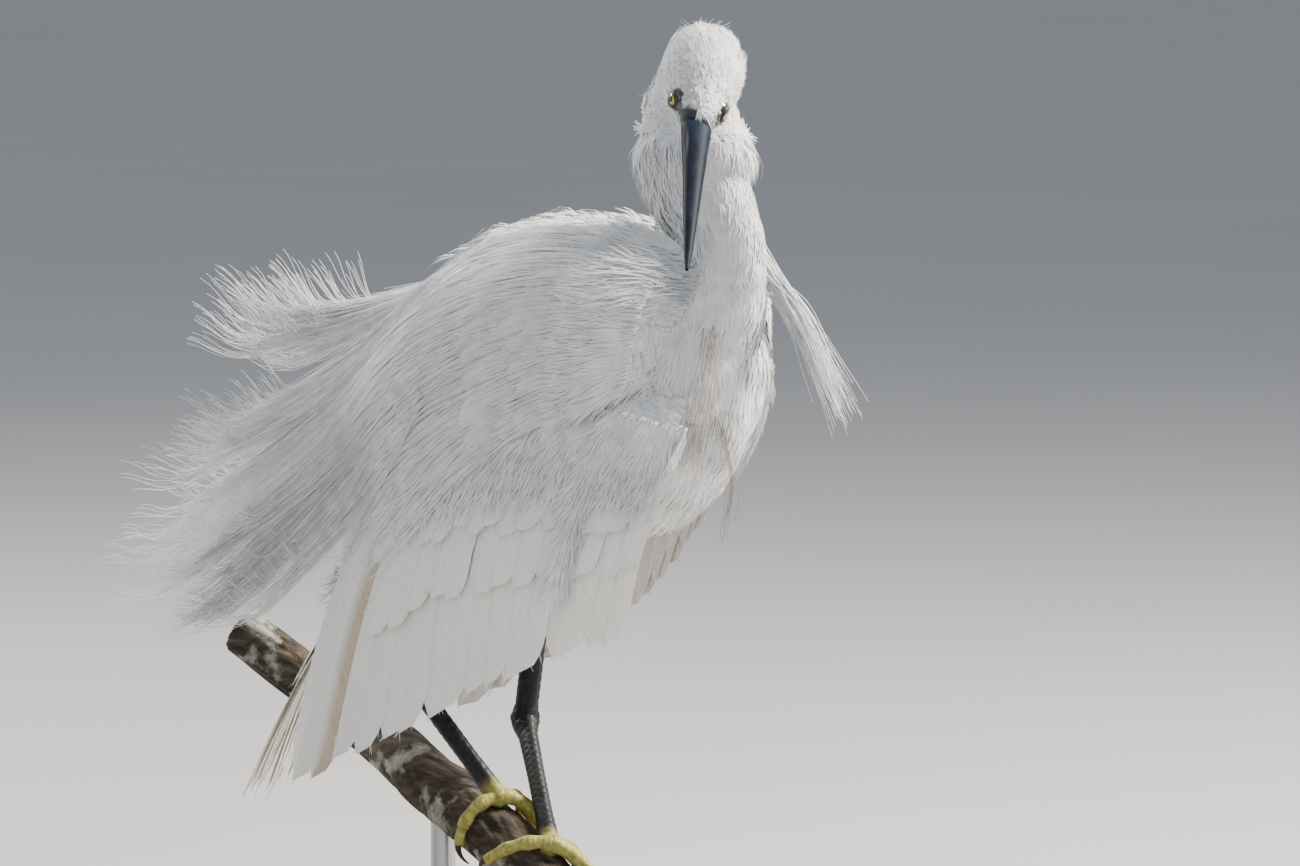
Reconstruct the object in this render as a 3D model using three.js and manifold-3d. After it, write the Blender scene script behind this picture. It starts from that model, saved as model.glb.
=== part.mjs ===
// Little egret, life size, standing on a cut length of branch that a plain display stand holds.
// Millimetres. +X is the way the bird walks, +Y is its left and +Z is up.
// The origin is the centre of the underside of the stand's base.
// Places on the bird are written from a point inside its shoulders, and LIFT brings them up to the stand.

import * as THREE from 'three';
import { mergeVertices } from 'three/addons/utils/BufferGeometryUtils.js';
import Module from 'manifold-3d';

const wasm = await Module();
wasm.setup();

// Driving dimensions
const LIFT = 246;
const SHIFT_X = 80;
const GAP = 0.3;
const BILL_LENGTH = 85;
const HEAD_CENTRE = [28, -1, 137];
const HEAD_YAW = -47.8;
const HEAD_PITCH = -34.4;
const HEAD_ROLL = 20;
const EYE_RADIUS = 4.7;
const EYE_PLACE = [16.2, 7.2, 0.3];
const TARSUS_RADIUS = 3.7;
const TIBIA_RADIUS = 4.6;
const TOE_RADIUS = 3.0;
const TOE_CLEAR = 0.8;
const CLAW_LENGTH = 9;
const BASE_SIZE = [250, 170, 16];
const ROD_RADIUS = 5;
const ROD_AT = 0.5;
const VANE_THICKNESS = 0.6;

// Small helpers
const vec = (x, y, z) => new THREE.Vector3(x, y, z);
const toVec = (p) => (p.isVector3 ? p.clone() : vec(...p));
const mix = (a, b, t) => a + (b - a) * t;
const radians = (degrees) => (degrees * Math.PI) / 180;
const curveOf = (points) => new THREE.CatmullRomCurve3(points.map(toVec));

function seeded(seed) {
  let state = seed >>> 0;
  return () => {
    state = (state + 0x6d2b79f5) >>> 0;
    let t = state;
    t = Math.imul(t ^ (t >>> 15), t | 1);
    t ^= t + Math.imul(t ^ (t >>> 7), t | 61);
    return ((t ^ (t >>> 14)) >>> 0) / 4294967296;
  };
}

// A table of [at, value, value...] rows, read smoothly at any place
function tableOf(rows) {
  return (at) => {
    const last = rows.length - 1;
    let k = 0;
    while (k < last - 1 && at > rows[k + 1][0]) k += 1;
    const t = THREE.MathUtils.clamp((at - rows[k][0]) / (rows[k + 1][0] - rows[k][0]), 0, 1);
    const s = t * t * (3 - 2 * t);
    return rows[k].slice(1).map((value, i) => mix(value, rows[k + 1][i + 1], s));
  };
}

// Solids
function solidOf(geometry) {
  const bare = geometry.clone();
  bare.deleteAttribute('normal');
  bare.deleteAttribute('uv');
  const merged = mergeVertices(bare, 1e-4);
  return new wasm.Manifold(new wasm.Mesh({
    numProp: 3,
    vertProperties: new Float32Array(merged.attributes.position.array),
    triVerts: new Uint32Array(merged.index.array),
  }));
}

function closedGeometry(points, faces) {
  let volume = 0;
  for (const [a, b, c] of faces) {
    volume += points[a].dot(points[b].clone().cross(points[c]));
  }
  const outward = volume < 0 ? faces.map(([a, b, c]) => [a, c, b]) : faces;
  const geometry = new THREE.BufferGeometry();
  const flat = points.flatMap((p) => [p.x, p.y, p.z]);
  geometry.setAttribute('position', new THREE.Float32BufferAttribute(flat, 3));
  geometry.setIndex(outward.flat());
  return geometry;
}

// Rings of points joined one to the next, closed at each end by a point
function loft(rings, first, last, flipSide = -1) {
  const n = rings[0].length;
  const points = rings.flat();
  const faces = [];
  for (let k = 0; k + 1 < rings.length; k += 1) {
    for (let i = 0; i < n; i += 1) {
      const a = k * n + i;
      const b = k * n + ((i + 1) % n);
      const c = a + n;
      const d = b + n;
      if (i === flipSide) faces.push([a, b, c], [b, d, c]);
      else faces.push([a, b, d], [a, d, c]);
    }
  }
  const end = (rings.length - 1) * n;
  const firstAt = points.push(first) - 1;
  const lastAt = points.push(last) - 1;
  for (let i = 0; i < n; i += 1) {
    const j = (i + 1) % n;
    faces.push([firstAt, j, i], [lastAt, end + i, end + j]);
  }
  return solidOf(closedGeometry(points, faces));
}

const middle = (ring) => ring.reduce((sum, p) => sum.add(p), vec(0, 0, 0)).divideScalar(ring.length);

function ringAt(centre, side, up, halfSide, halfUp, sides, turn = 0) {
  return Array.from({ length: sides }, (_, i) => {
    const angle = turn + (2 * Math.PI * i) / sides;
    return centre.clone()
      .addScaledVector(side, halfSide * Math.cos(angle))
      .addScaledVector(up, halfUp * Math.sin(angle));
  });
}

// A round body along a path of [x, y, z, half across, half deep] rows. The ends close to points.
function limb(rows, { sides = 12, fine = 2, grow = 0, across = [0, 1, 0] }) {
  const path = curveOf(rows.map((r) => [r[0], r[1], r[2]]));
  const size = curveOf(rows.map((r) => [r[3], r[4], 0]));
  const steps = (rows.length - 1) * fine;
  const rings = [];
  for (let k = 0; k <= steps; k += 1) {
    const t = k / steps;
    const centre = path.getPoint(t);
    const along = path.getTangent(t);
    const side = toVec(across).addScaledVector(along, -toVec(across).dot(along)).normalize();
    const up = along.clone().cross(side).normalize();
    const half = size.getPoint(t);
    if (half.x + half.y < 1 && grow === 0 && (k === 0 || k === steps)) continue;
    rings.push(ringAt(centre, side, up, Math.max(half.x, 0.2) + grow, Math.max(half.y, 0.2) + grow, sides));
  }
  const ends = [0, 1].map((t) => {
    const way = path.getTangent(t).multiplyScalar(t === 0 ? -grow : grow);
    return path.getPoint(t).add(way);
  });
  const closed = (i) => (rows[i][3] < 1 ? ends[i === 0 ? 0 : 1] : null);
  return loft(
    rings,
    closed(0) ?? middle(rings[0]),
    closed(rows.length - 1) ?? middle(rings[rings.length - 1]),
  );
}

const join = (solids) => wasm.Manifold.union(solids);
const cut = (solid, ...tools) => tools.reduce((left, tool) => left.subtract(tool), solid);

function largest(solid) {
  const pieces = solid.decompose();
  return pieces.reduce((best, piece) => (piece.volume() > best.volume() ? piece : best));
}

// A smooth sheet through lines of points: u runs along each line, v from the first line to the last
function sheetOf(lines, outward) {
  const rows = lines.map(curveOf);
  const inside = (u, v) => curveOf(rows.map((row) => row.getPoint(u))).getPoint(v);
  const at = (u, v) => {
    const cu = THREE.MathUtils.clamp(u, 0, 1);
    const cv = THREE.MathUtils.clamp(v, 0, 1);
    const point = inside(cu, cv);
    const e = 0.04;
    if (v > 1) point.addScaledVector(inside(cu, 1).sub(inside(cu, 1 - e)), (v - 1) / e);
    if (u > 1) point.addScaledVector(inside(1, cv).sub(inside(1 - e, cv)), (u - 1) / e);
    return point;
  };
  const normal = (u, v) => {
    const e = 0.02;
    const cu = THREE.MathUtils.clamp(u, e, 1 - e);
    const cv = THREE.MathUtils.clamp(v, e, 1 - e);
    const along = at(cu + e, cv).sub(at(cu - e, cv));
    const down = at(cu, cv + e).sub(at(cu, cv - e));
    const n = along.cross(down).normalize();
    return n.dot(toVec(outward)) < 0 ? n.negate() : n;
  };
  return { at, normal };
}

// A slab that follows a sheet, from u0 to u1 and v0 to v1, between two heights that depend on (u, v)
function slab(sheet, { u = [0, 1], v = [0, 1], stepsU = 10, stepsV = 5, top, bottom }) {
  const rings = [];
  for (let i = 0; i <= stepsU; i += 1) {
    const uu = mix(u[0], u[1], i / stepsU);
    const ring = [];
    for (const [height, order] of [[top, 1], [bottom, -1]]) {
      for (let j = 0; j <= stepsV; j += 1) {
        const q = order > 0 ? j / stepsV : 1 - j / stepsV;
        const vv = mix(v[0], v[1], q);
        ring.push(sheet.at(uu, vv).addScaledVector(sheet.normal(uu, vv), height(i / stepsU, q)));
      }
    }
    rings.push(ring);
  }
  return loft(rings, middle(rings[0]), middle(rings[stepsU]));
}

// Feathers
const VANE_STATIONS = [0, 0.42, 0.78, 0.94, 1];
const VANE_SHAPE = [0.6, 0.95, 1, 0.76, 0.36];
const STEEPEST_TILT = 0.26;
const SHINGLE_STEP = 1.9;

// A flat feather on a sheet, from one (u, v) to another. Its far edge dips so that the next one lies over it.
function vane(sheet, from, to, { half, rise, pitch, across, lean = 1, curl = 0 }) {
  const spot = (t) => {
    const u = mix(from[0], to[0], t);
    const v = mix(from[1], to[1], t);
    const up = sheet.normal(u, v);
    const height = mix(rise[0], rise[1], t) + curl * t * t;
    return { point: sheet.at(u, v).addScaledVector(up, height), up, u, v };
  };
  const rings = VANE_STATIONS.map((t, k) => {
    const here = spot(t);
    const ahead = spot(Math.min(1, t + 0.03)).point.sub(spot(Math.max(0, t - 0.03)).point).normalize();
    const side = here.up.clone().cross(ahead).normalize();
    const step = across === 'u' ? [0.02, 0] : [0, 0.02];
    const next = sheet.at(here.u + step[0], here.v + step[1]).sub(sheet.at(here.u - step[0], here.v - step[1]));
    if (next.dot(side) < 0) side.negate();
    const local = (pitch * next.length()) / 0.04;
    const tilt = -lean * Math.min(STEEPEST_TILT, SHINGLE_STEP / local);
    const wide = half * VANE_SHAPE[k];
    const corner = (sideways, above) => here.point.clone()
      .addScaledVector(side, sideways * wide)
      .addScaledVector(here.up, tilt * sideways * wide + (above * VANE_THICKNESS) / 2);
    return [corner(-1, 1), corner(-1, -1), corner(1, -1), corner(1, 1)];
  });
  return loft(rings, middle(rings[0]), middle(rings[rings.length - 1]), 1);
}

// A row of vanes side by side. The row runs along u or v, and each vane crosses it.
function tier(sheet, { count, along, span, cross, breadth, rise, lean = 1, slant = 0, jitter = 0.02, curl = 0, seed }) {
  const random = seeded(seed);
  const pitch = (span[1] - span[0]) / count;
  return Array.from({ length: count }, (_, i) => {
    const place = mix(span[0], span[1], (i + 0.5) / count);
    const reach = cross[1] + jitter * (random() - 0.5) * 2;
    const far = place + slant + pitch * 0.12 * (random() - 0.5);
    const from = along === 'u' ? [place, cross[0]] : [cross[0], place];
    const to = along === 'u' ? [far, reach] : [reach, far];
    const a = along === 'u' ? sheet.at(place - pitch / 2, 0.8 * reach) : sheet.at(0.8 * reach, place - pitch / 2);
    const b = along === 'u' ? sheet.at(place + pitch / 2, 0.8 * reach) : sheet.at(0.8 * reach, place + pitch / 2);
    const half = a.distanceTo(b) * breadth * mix(0.94, 1.06, random());
    const leaning = typeof lean === 'function' ? lean(place) : lean;
    return vane(sheet, from, to, { half, rise, pitch, across: along, lean: leaning, curl });
  });
}

// A flat tapered lock along a bent line of points, closed to a point at its tip
const PLUME_SHAPE = [0.6, 0.9, 1, 0.9, 0.72, 0.4];
const TUFT_SHAPE = [0.7, 1, 0.8, 0.45];
const LOCK_SIDES = 4;
const LOCK_ACROSS = [0, 0.3, 1];
function lock(points, { shape, wide, deep }, grow = 0) {
  const path = curveOf(points);
  const rings = shape.map((share, k) => {
    const t = k / shape.length;
    const ahead = path.getTangent(t);
    const side = toVec(LOCK_ACROSS).addScaledVector(ahead, -toVec(LOCK_ACROSS).dot(ahead)).normalize();
    const up = ahead.clone().cross(side);
    return ringAt(path.getPoint(t), side, up, wide * share + grow, deep * share + grow, LOCK_SIDES);
  });
  return loft(rings, middle(rings[0]), path.getPoint(1).addScaledVector(path.getTangent(1), grow));
}

// Locks that would meet a neighbour are bent away from it, step by step, and left out if that fails
const LOCK_CLEAR = 0.45;
const BEND_STEP = 2;
const BEND_TRIES = 9;
function clearLock(points, form, away, obstacles) {
  for (let attempt = 0; attempt < BEND_TRIES; attempt += 1) {
    const bent = points.map((p, i) => toVec(p).addScaledVector(
      away(toVec(p)),
      i === 0 ? 0 : attempt * BEND_STEP,
    ));
    const grown = lock(bent, form, LOCK_CLEAR);
    if (obstacles.every((other) => grown.intersect(other).isEmpty())) return lock(bent, form);
  }
  return null;
}

// Body
const TORSO = [
  [47, 0, 10, 0, 0],
  [43, 0, 11, 17, 20],
  [34, 0, 14, 31, 39],
  [18, 0, 17, 43, 53],
  [-8, 0, 18, 50, 59],
  [-40, 0, 14, 52, 63],
  [-72, 0, 4, 50, 61],
  [-103, 0, -14, 45, 54],
  [-130, 0, -38, 31, 36],
  [-150, 0, -59, 19, 22],
  [-162, 0, -72, 10, 12],
  [-167, 0, -77, 0, 0],
];
const NECK = [
  [20, 0, 34, 26, 30],
  [32, 0, 54, 23, 27],
  [37.5, 0, 72.6, 18.5, 22],
  [34, 0, 86.4, 18, 20.5],
  [28, 0, 95.6, 20, 23],
  [23.7, 0, 111, 21.5, 25],
  [21.8, -1, 126, 18, 20],
  [22, -1, 140, 12, 13],
  [22, -1, 148, 0, 0],
];
const torso = (grow = 0) => limb(TORSO, { sides: 22, fine: 1, grow });
const neck = (grow = 0) => limb(NECK, { sides: 16, fine: 2, grow });

// Head: x forward, y left and z up in the head's own frame
const headMatrix = new THREE.Matrix4().compose(
  toVec(HEAD_CENTRE),
  new THREE.Quaternion()
    .multiply(new THREE.Quaternion().setFromAxisAngle(vec(0, 0, 1), radians(HEAD_YAW)))
    .multiply(new THREE.Quaternion().setFromAxisAngle(vec(0, 1, 0), radians(-HEAD_PITCH)))
    .multiply(new THREE.Quaternion().setFromAxisAngle(vec(1, 0, 0), radians(-HEAD_ROLL))),
  vec(1, 1, 1),
);
const onHead = (x, y, z) => vec(x, y, z).applyMatrix4(headMatrix);
const HEAD = [
  [-27, 0, 0, 0],
  [-24, 0.5, 8, 8.5],
  [-17, 0.5, 13.5, 14],
  [-7, 0.3, 16, 16.5],
  [4, 0, 15.3, 15.2],
  [14, -0.4, 11.8, 11.6],
  [22, -0.8, 8.6, 9.2],
  [28.5, -1, 6.4, 7.4],
];
const HEAD_SIDES = 18;
const BILL_START = 28.9;
const BILL = tableOf([
  [0, 6.0, 4.4, 3.3],
  [0.12, 5.4, 3.9, 3.0],
  [0.35, 4.1, 3.1, 2.2],
  [0.65, 2.8, 2.2, 1.5],
  [0.9, 1.5, 1.3, 0.8],
  [1, 0.6, 0.7, 0.45],
]);
const MOUTH = -1.2;

function headShell(grow = 0) {
  const size = curveOf(HEAD.map((r) => [r[2], r[3], r[1]]));
  const place = curveOf(HEAD.map((r) => [r[0], 0, 0]));
  const steps = (HEAD.length - 1) * 2;
  const rings = [];
  for (let k = 1; k <= steps; k += 1) {
    const t = k / steps;
    const half = size.getPoint(t);
    const ring = [];
    for (let i = 0; i < HEAD_SIDES; i += 1) {
      const angle = (2 * Math.PI * i) / HEAD_SIDES;
      const x = place.getPoint(t).x + (k === steps ? grow : 0);
      const y = (half.x + grow) * Math.cos(angle);
      const z = half.z + (half.y + grow) * Math.sin(angle);
      ring.push(onHead(x, y, z));
    }
    rings.push(ring);
  }
  return loft(rings, onHead(HEAD[0][0] - grow, 0, 0), middle(rings[steps - 1]));
}

function ball(centre, radii, detail = 2, turn = null) {
  const geometry = new THREE.IcosahedronGeometry(1, detail);
  const matrix = new THREE.Matrix4().compose(toVec(centre), turn ?? new THREE.Quaternion(), toVec(radii));
  return solidOf(geometry.applyMatrix4(matrix));
}

function eye(side, grow = 0) {
  const radius = EYE_RADIUS + grow;
  return ball(onHead(EYE_PLACE[0], side * EYE_PLACE[1], EYE_PLACE[2]), [radius, radius, radius], 1);
}

function lid(side, grow = 0) {
  const outward = vec(0.42, side * 0.9, 0.12).normalize();
  const geometry = new THREE.TorusGeometry(4.1, 1.3 + grow, 5, 12);
  geometry.applyQuaternion(new THREE.Quaternion().setFromUnitVectors(vec(0, 0, 1), outward));
  const place = vec(EYE_PLACE[0], side * EYE_PLACE[1], EYE_PLACE[2]).addScaledVector(outward, 2.2);
  geometry.translate(place.x, place.y, place.z);
  geometry.applyMatrix4(headMatrix);
  return solidOf(geometry);
}

// A thin box cut into the cheek carries the line of the mouth back from the bill
function mouthSlit(side) {
  const geometry = new THREE.BoxGeometry(16, 4, 0.7);
  geometry.rotateZ(-side * radians(24));
  geometry.translate(25, side * 9.2, MOUTH - 0.3);
  return solidOf(geometry.applyMatrix4(headMatrix));
}

function mandible(upper, grow = 0) {
  const steps = 9;
  const length = upper ? BILL_LENGTH : BILL_LENGTH - 2;
  const rings = [];
  for (let k = 0; k <= steps; k += 1) {
    const t = k / steps;
    const [half, above, below] = BILL(t);
    const droop = -1.6 * t * t;
    const ring = [];
    for (let i = 0; i <= 8; i += 1) {
      const angle = (Math.PI * i) / 8 + (upper ? 0 : Math.PI);
      const y = (half + grow) * Math.cos(angle);
      const height = (upper ? above : below) + grow;
      const z = MOUTH + droop + (upper ? 0.2 : -0.2) + height * Math.sin(angle);
      ring.push(onHead(BILL_START + length * t, y, z));
    }
    rings.push(ring);
  }
  return loft(rings, middle(rings[0]), middle(rings[steps]));
}

function nostril(side) {
  const turn = new THREE.Quaternion().setFromRotationMatrix(headMatrix);
  return ball(onHead(BILL_START + 11, side * 5.3, MOUTH + 1.9), [4.2, 0.8, 0.6], 1, turn);
}

const headSolid = largest(cut(
  join([headShell(), lid(1), lid(-1)]),
  eye(1, GAP),
  eye(-1, GAP),
  mouthSlit(1),
  mouthSlit(-1),
));

// Branch
const BRANCH = [
  [-264, 31, -99, 10.6, 10.2],
  [-215, 42, -128, 11.2, 10.8],
  [-178, 30, -137, 11.8, 11.4],
  [-126, 10, -151, 12.6, 12.0],
  [-74, -8, -163.5, 13.0, 12.6],
  [-38.8, -14, -181, 12.6, 12.6],
  [15, -27, -206, 11.6, 12.0],
];
const KNOTS = [
  [[-205, 40, -118], 9],
  [[-140, 6, -140], 7],
  [[-12, -28, -190], 8],
];

function branch(grow = 0) {
  const random = seeded(11);
  const path = curveOf(BRANCH.map((r) => r.slice(0, 3)));
  const size = curveOf(BRANCH.map((r) => [r[3], r[4], 0]));
  const steps = 17;
  const sides = 9;
  const rings = [];
  for (let k = 0; k <= steps; k += 1) {
    const t = k / steps;
    const along = path.getTangent(t);
    const side = vec(0, 0, 1).cross(along).normalize();
    const up = along.clone().cross(side);
    const half = size.getPoint(t);
    rings.push(Array.from({ length: sides }, (_, i) => {
      const angle = (2 * Math.PI * i) / sides;
      const rough = 1 + 0.05 * (random() - 0.5) + 0.03 * Math.sin(3 * angle + 9 * t);
      return path.getPoint(t)
        .addScaledVector(side, (half.x * rough + grow) * Math.cos(angle))
        .addScaledVector(up, (half.y * rough + grow) * Math.sin(angle));
    }));
  }
  const body = loft(rings, middle(rings[0]), middle(rings[steps]));
  const knots = KNOTS.map(([place, radius]) => {
    const r = radius + grow;
    return ball(place, [r * 1.3, r, r], 1);
  });
  return join([body, ...knots]);
}

// Legs. The near points of each leg: knee inside the body, end of the feathers, ankle, foot
const LEGS = {
  left: {
    thigh: [[-72, 24, -40, 17, 24], [-80, 25, -62, 13, 17], [-88, 25, -80, 8.5, 10], [-92, 25, -92, 5.6, 6.2]],
    ankle: [-93.6, 24, -120.7],
    foot: [-42, -12.5, -163.5],
    heading: -62,
  },
  right: {
    thigh: [[-92, -20, -36, 17, 22], [-103, -23, -54, 12, 15], [-111, -24, -66, 8, 9], [-116, -24, -74, 5.6, 6.2]],
    ankle: [-122.8, -24, -89.1],
    foot: [-74.5, -8.5, -147.5],
    heading: -92,
  },
};
const TOES = [
  ['inner', 24, 36],
  ['middle', 0, 44],
  ['outer', -26, 38],
  ['hind', 180, 28],
];

function shank(leg, grow = 0) {
  const top = leg.thigh[leg.thigh.length - 2];
  const a = toVec(top.slice(0, 3));
  const b = toVec(leg.ankle);
  const rows = [0, 0.3, 0.6, 0.85].map((t) => [...a.clone().lerp(b, t).toArray(), TIBIA_RADIUS, TIBIA_RADIUS]);
  rows.push([...a.clone().lerp(b, 0.95).toArray(), 5.6, 6]);
  rows.push([...b.toArray(), 5.9, 6.4]);
  rows.push([...a.clone().lerp(b, 1.1).toArray(), 4.2, 4.6]);
  rows.push([...a.clone().lerp(b, 1.15).toArray(), 0, 0]);
  return limb(rows, { sides: 10, fine: 1, grow });
}

function tarsus(leg, grow = 0) {
  const a = toVec(leg.ankle);
  const b = toVec(leg.foot);
  const r = TARSUS_RADIUS;
  const rows = [[-0.06, 0, 0], [-0.03, 4, 4.4], [0.03, 5.4, 5.8], [0.12, r, r + 0.8], [0.4, r - 0.3, r + 0.3],
    [0.75, r - 0.3, r + 0.2], [0.93, r + 0.4, r + 0.6], [1.0, r + 0.8, r + 0.6], [1.04, 0, 0]]
    .map(([t, p, q]) => [...a.clone().lerp(b, t).toArray(), p, q]);
  return limb(rows, { sides: 10, fine: 1, grow });
}

const branchPath = curveOf(BRANCH.map((r) => r.slice(0, 3)));
const branchHalf = curveOf(BRANCH.map((r) => [r[3], r[4], 0]));

// The share of the branch's length at which a foot stands
function standsAt(foot) {
  let best = 0;
  for (let k = 0; k <= 200; k += 1) {
    const near = branchPath.getPointAt(k / 200).distanceTo(toVec(foot));
    if (near < branchPath.getPointAt(best).distanceTo(toVec(foot))) best = k / 200;
  }
  return best;
}

// A toe lies along the branch at an angle and bends round it. Distances are along the toe.
function toePath(leg, turn, reach, lift = 0) {
  const heading = radians(leg.heading + turn);
  const start = standsAt(leg.foot);
  return (s) => {
    const run = s * reach;
    const t = start + (run * Math.cos(heading)) / branchPath.getLength();
    const along = branchPath.getTangentAt(t);
    const side = along.clone().cross(vec(0, 0, 1)).normalize();
    const up = side.clone().cross(along);
    const radius = branchHalf.getPointAt(t).y + TOE_RADIUS + TOE_CLEAR + lift;
    const angle = (run * Math.sin(heading)) / radius;
    const centre = branchPath.getPointAt(t);
    return centre
      .addScaledVector(up, radius * Math.cos(angle))
      .addScaledVector(side, radius * Math.sin(angle));
  };
}

function toe(leg, turn, reach, grow = 0) {
  const place = toePath(leg, turn, reach);
  const rows = [];
  const count = 6;
  for (let k = 0; k <= count; k += 1) {
    const t = k / count;
    const knuckle = k % 2 === 0 ? 0.9 : 1.1;
    const half = k === 0 ? 2.2 : TOE_RADIUS * mix(1.05, 0.72, t) * knuckle;
    rows.push([...place(t).toArray(), half, half * 0.95]);
  }
  return limb(rows, { sides: 6, fine: 1, grow, across: [0.3, 0.2, 1] });
}

function claw(leg, turn, reach) {
  const start = toePath(leg, turn, reach + 3 * GAP)(1);
  const bend = toePath(leg, turn, reach + CLAW_LENGTH * 0.5, 0.6)(1);
  const tip = toePath(leg, turn, reach + CLAW_LENGTH, -0.8)(1);
  const path = curveOf([start, bend, tip]);
  const rows = [0, 0.4, 0.75, 1].map((t) => {
    const half = mix(1.75, 0.5, t);
    return [...path.getPoint(t).toArray(), half, half];
  });
  return limb(rows, { sides: 5, fine: 1, across: [0.3, 0.2, 1] });
}

// Wings. Lines of points from the front to the back of each wing, on the bird's right side
const WING_LINES = [
  [[46, -26, 6], [22, -45, 14], [-10, -54, 22], [-38, -55, 24], [-64, -54, 22]],
  [[37, -41, -34], [6, -54, -34], [-34, -61, -40], [-72, -62, -50], [-112, -60, -62]],
  [[16, -34, -74], [-14, -48, -86], [-51, -53, -103], [-100, -55, -125], [-155, -50, -148]],
];
const CAPE_LINES = [
  [[34, -18, 70], [6, -24, 76], [-36, -26, 76], [-78, -26, 61], [-118, -24, 36]],
  [[34, -36, 54], [8, -51, 57], [-34, -58, 48], [-76, -58, 28], [-112, -52, 0]],
  [[29, -43, 20], [4, -57, 8], [-28, -64, -12], [-56, -65, -36], [-84, -62, -60]],
];
// The left wing is held closer to the body than the drooping right one
const LEFT_WING_LINES = [
  [[16, 45, 26], [0, 51, 26], [-20, 56, 26], [-44, 57, 26], [-68, 56, 22]],
  [[2, 51, 0], [-18, 57, -8], [-48, 62, -22], [-80, 63, -38], [-118, 60, -52]],
  [[-8, 49, -20], [-36, 55, -46], [-68, 57, -74], [-110, 54, -98], [-162, 45, -124]],
];
const LEFT_CAPE_LINES = [
  [[16, 16, 76], [-6, 24, 77], [-40, 26, 76], [-80, 26, 61], [-118, 24, 36]],
  [[14, 43, 60], [-6, 53, 58], [-40, 60, 48], [-78, 61, 28], [-112, 55, 0]],
  [[8, 53, 20], [-12, 60, 8], [-40, 65, -12], [-66, 67, -34], [-94, 63, -58]],
];

// Rows of feathers across the wing, each with its run along the wing and its reach down it.
// The two counts are for the right wing and for the left one, which is closed and mostly hidden.
const WING_TIERS = [
  { counts: [15, 8], span: [0, 1], cross: [0.32, 1], breadth: 0.84, rise: [-0.6, 0.8], jitter: 0.012 },
  { counts: [8, 4], span: [0.01, 0.6], cross: [0.2, 0.6], breadth: 0.84, rise: [1.2, 4.4], jitter: 0.02 },
  { counts: [6, 3], span: [0.01, 0.46], cross: [0.08, 0.36], breadth: 0.86, rise: [1.8, 6.6], jitter: 0.02 },
];
// The scapulars lie along the back and over the top of the wing
const CAPE_TIERS = [
  { counts: [6, 4], span: [0.04, 1], cross: [0.46, 1.02], breadth: 0.85, rise: [0.6, 2.6], jitter: 0.03 },
  { counts: [5, 3], span: [0.05, 0.98], cross: [0.2, 0.64], breadth: 0.85, rise: [1.2, 5.4], jitter: 0.03 },
];

// The front edge of a wing is thinner than its middle
const frontTaper = (u) => mix(0.35, 1, Math.min(1, u * 5));

function wing(side) {
  const lines = side < 0 ? WING_LINES : LEFT_WING_LINES;
  const capeLines = side < 0 ? CAPE_LINES : LEFT_CAPE_LINES;
  const sheet = sheetOf(lines, [0, side, 0]);
  const cape = sheetOf(capeLines, [0, side, 0.3]);
  const core = slab(sheet, {
    stepsU: 9,
    stepsV: 3,
    v: [0, 0.46],
    top: (u, v) => mix(3.4, 1.2, v) * frontTaper(u),
    bottom: (u, v) => mix(-6, -1.5, v) * frontTaper(u),
  });
  const pad = slab(cape, {
    stepsU: 8,
    stepsV: 4,
    u: [0, 0.66],
    top: (u) => mix(2.6, 1.4, u) * frontTaper(u),
    bottom: (u) => mix(-7, -3, u) * frontTaper(u),
  });
  const seed = side < 0 ? 31 : 57;
  const layer = (surface, along, first) => (row, k) => tier(surface, {
    ...row, count: row.counts[side < 0 ? 0 : 1], along, lean: -1, seed: first + k,
  });
  const rows = WING_TIERS.map(layer(sheet, 'u', seed));
  const scapulars = CAPE_TIERS.map(layer(cape, 'v', seed + 9));
  return join([core, pad, ...rows.flat(), ...scapulars.flat()]);
}

// Tail
const TAIL_LINES = [
  [[-146, -20, -70], [-152, -4, -66], [-156, 12, -70]],
  [[-166, -30, -106], [-172, -10, -100], [-177, 10, -104]],
  [[-184, -42, -150], [-192, -18, -153], [-200, 4, -148]],
];

function tail() {
  const sheet = sheetOf(TAIL_LINES, [-1, 0, 0.5]);
  const core = slab(sheet, { stepsU: 5, stepsV: 2, v: [0, 0.4], top: () => 1.6, bottom: () => -2 });
  const vanes = tier(sheet, {
    count: 8, along: 'u', span: [0, 1], cross: [0.1, 1], breadth: 0.85, rise: [0, 0], jitter: 0.02, seed: 149,
  });
  return join([core, ...vanes]);
}

// Plumes of the back
const SADDLE = { centre: [-36, 0, 58], radii: [62, 24, 30] };
const saddle = (grow = 0) => ball(SADDLE.centre, SADDLE.radii.map((r) => r + grow), 3);

// A root this far under the top of the saddle
const ROOT_DEPTH = 3.2;
function onSaddle(x, y) {
  const [cx, cy, cz] = SADDLE.centre;
  const [rx, ry, rz] = SADDLE.radii;
  const share = 1 - ((x - cx) / rx) ** 2 - ((y - cy) / ry) ** 2;
  return vec(x, y, cz + rz * Math.sqrt(Math.max(share, 0.05)) - ROOT_DEPTH);
}

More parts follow.
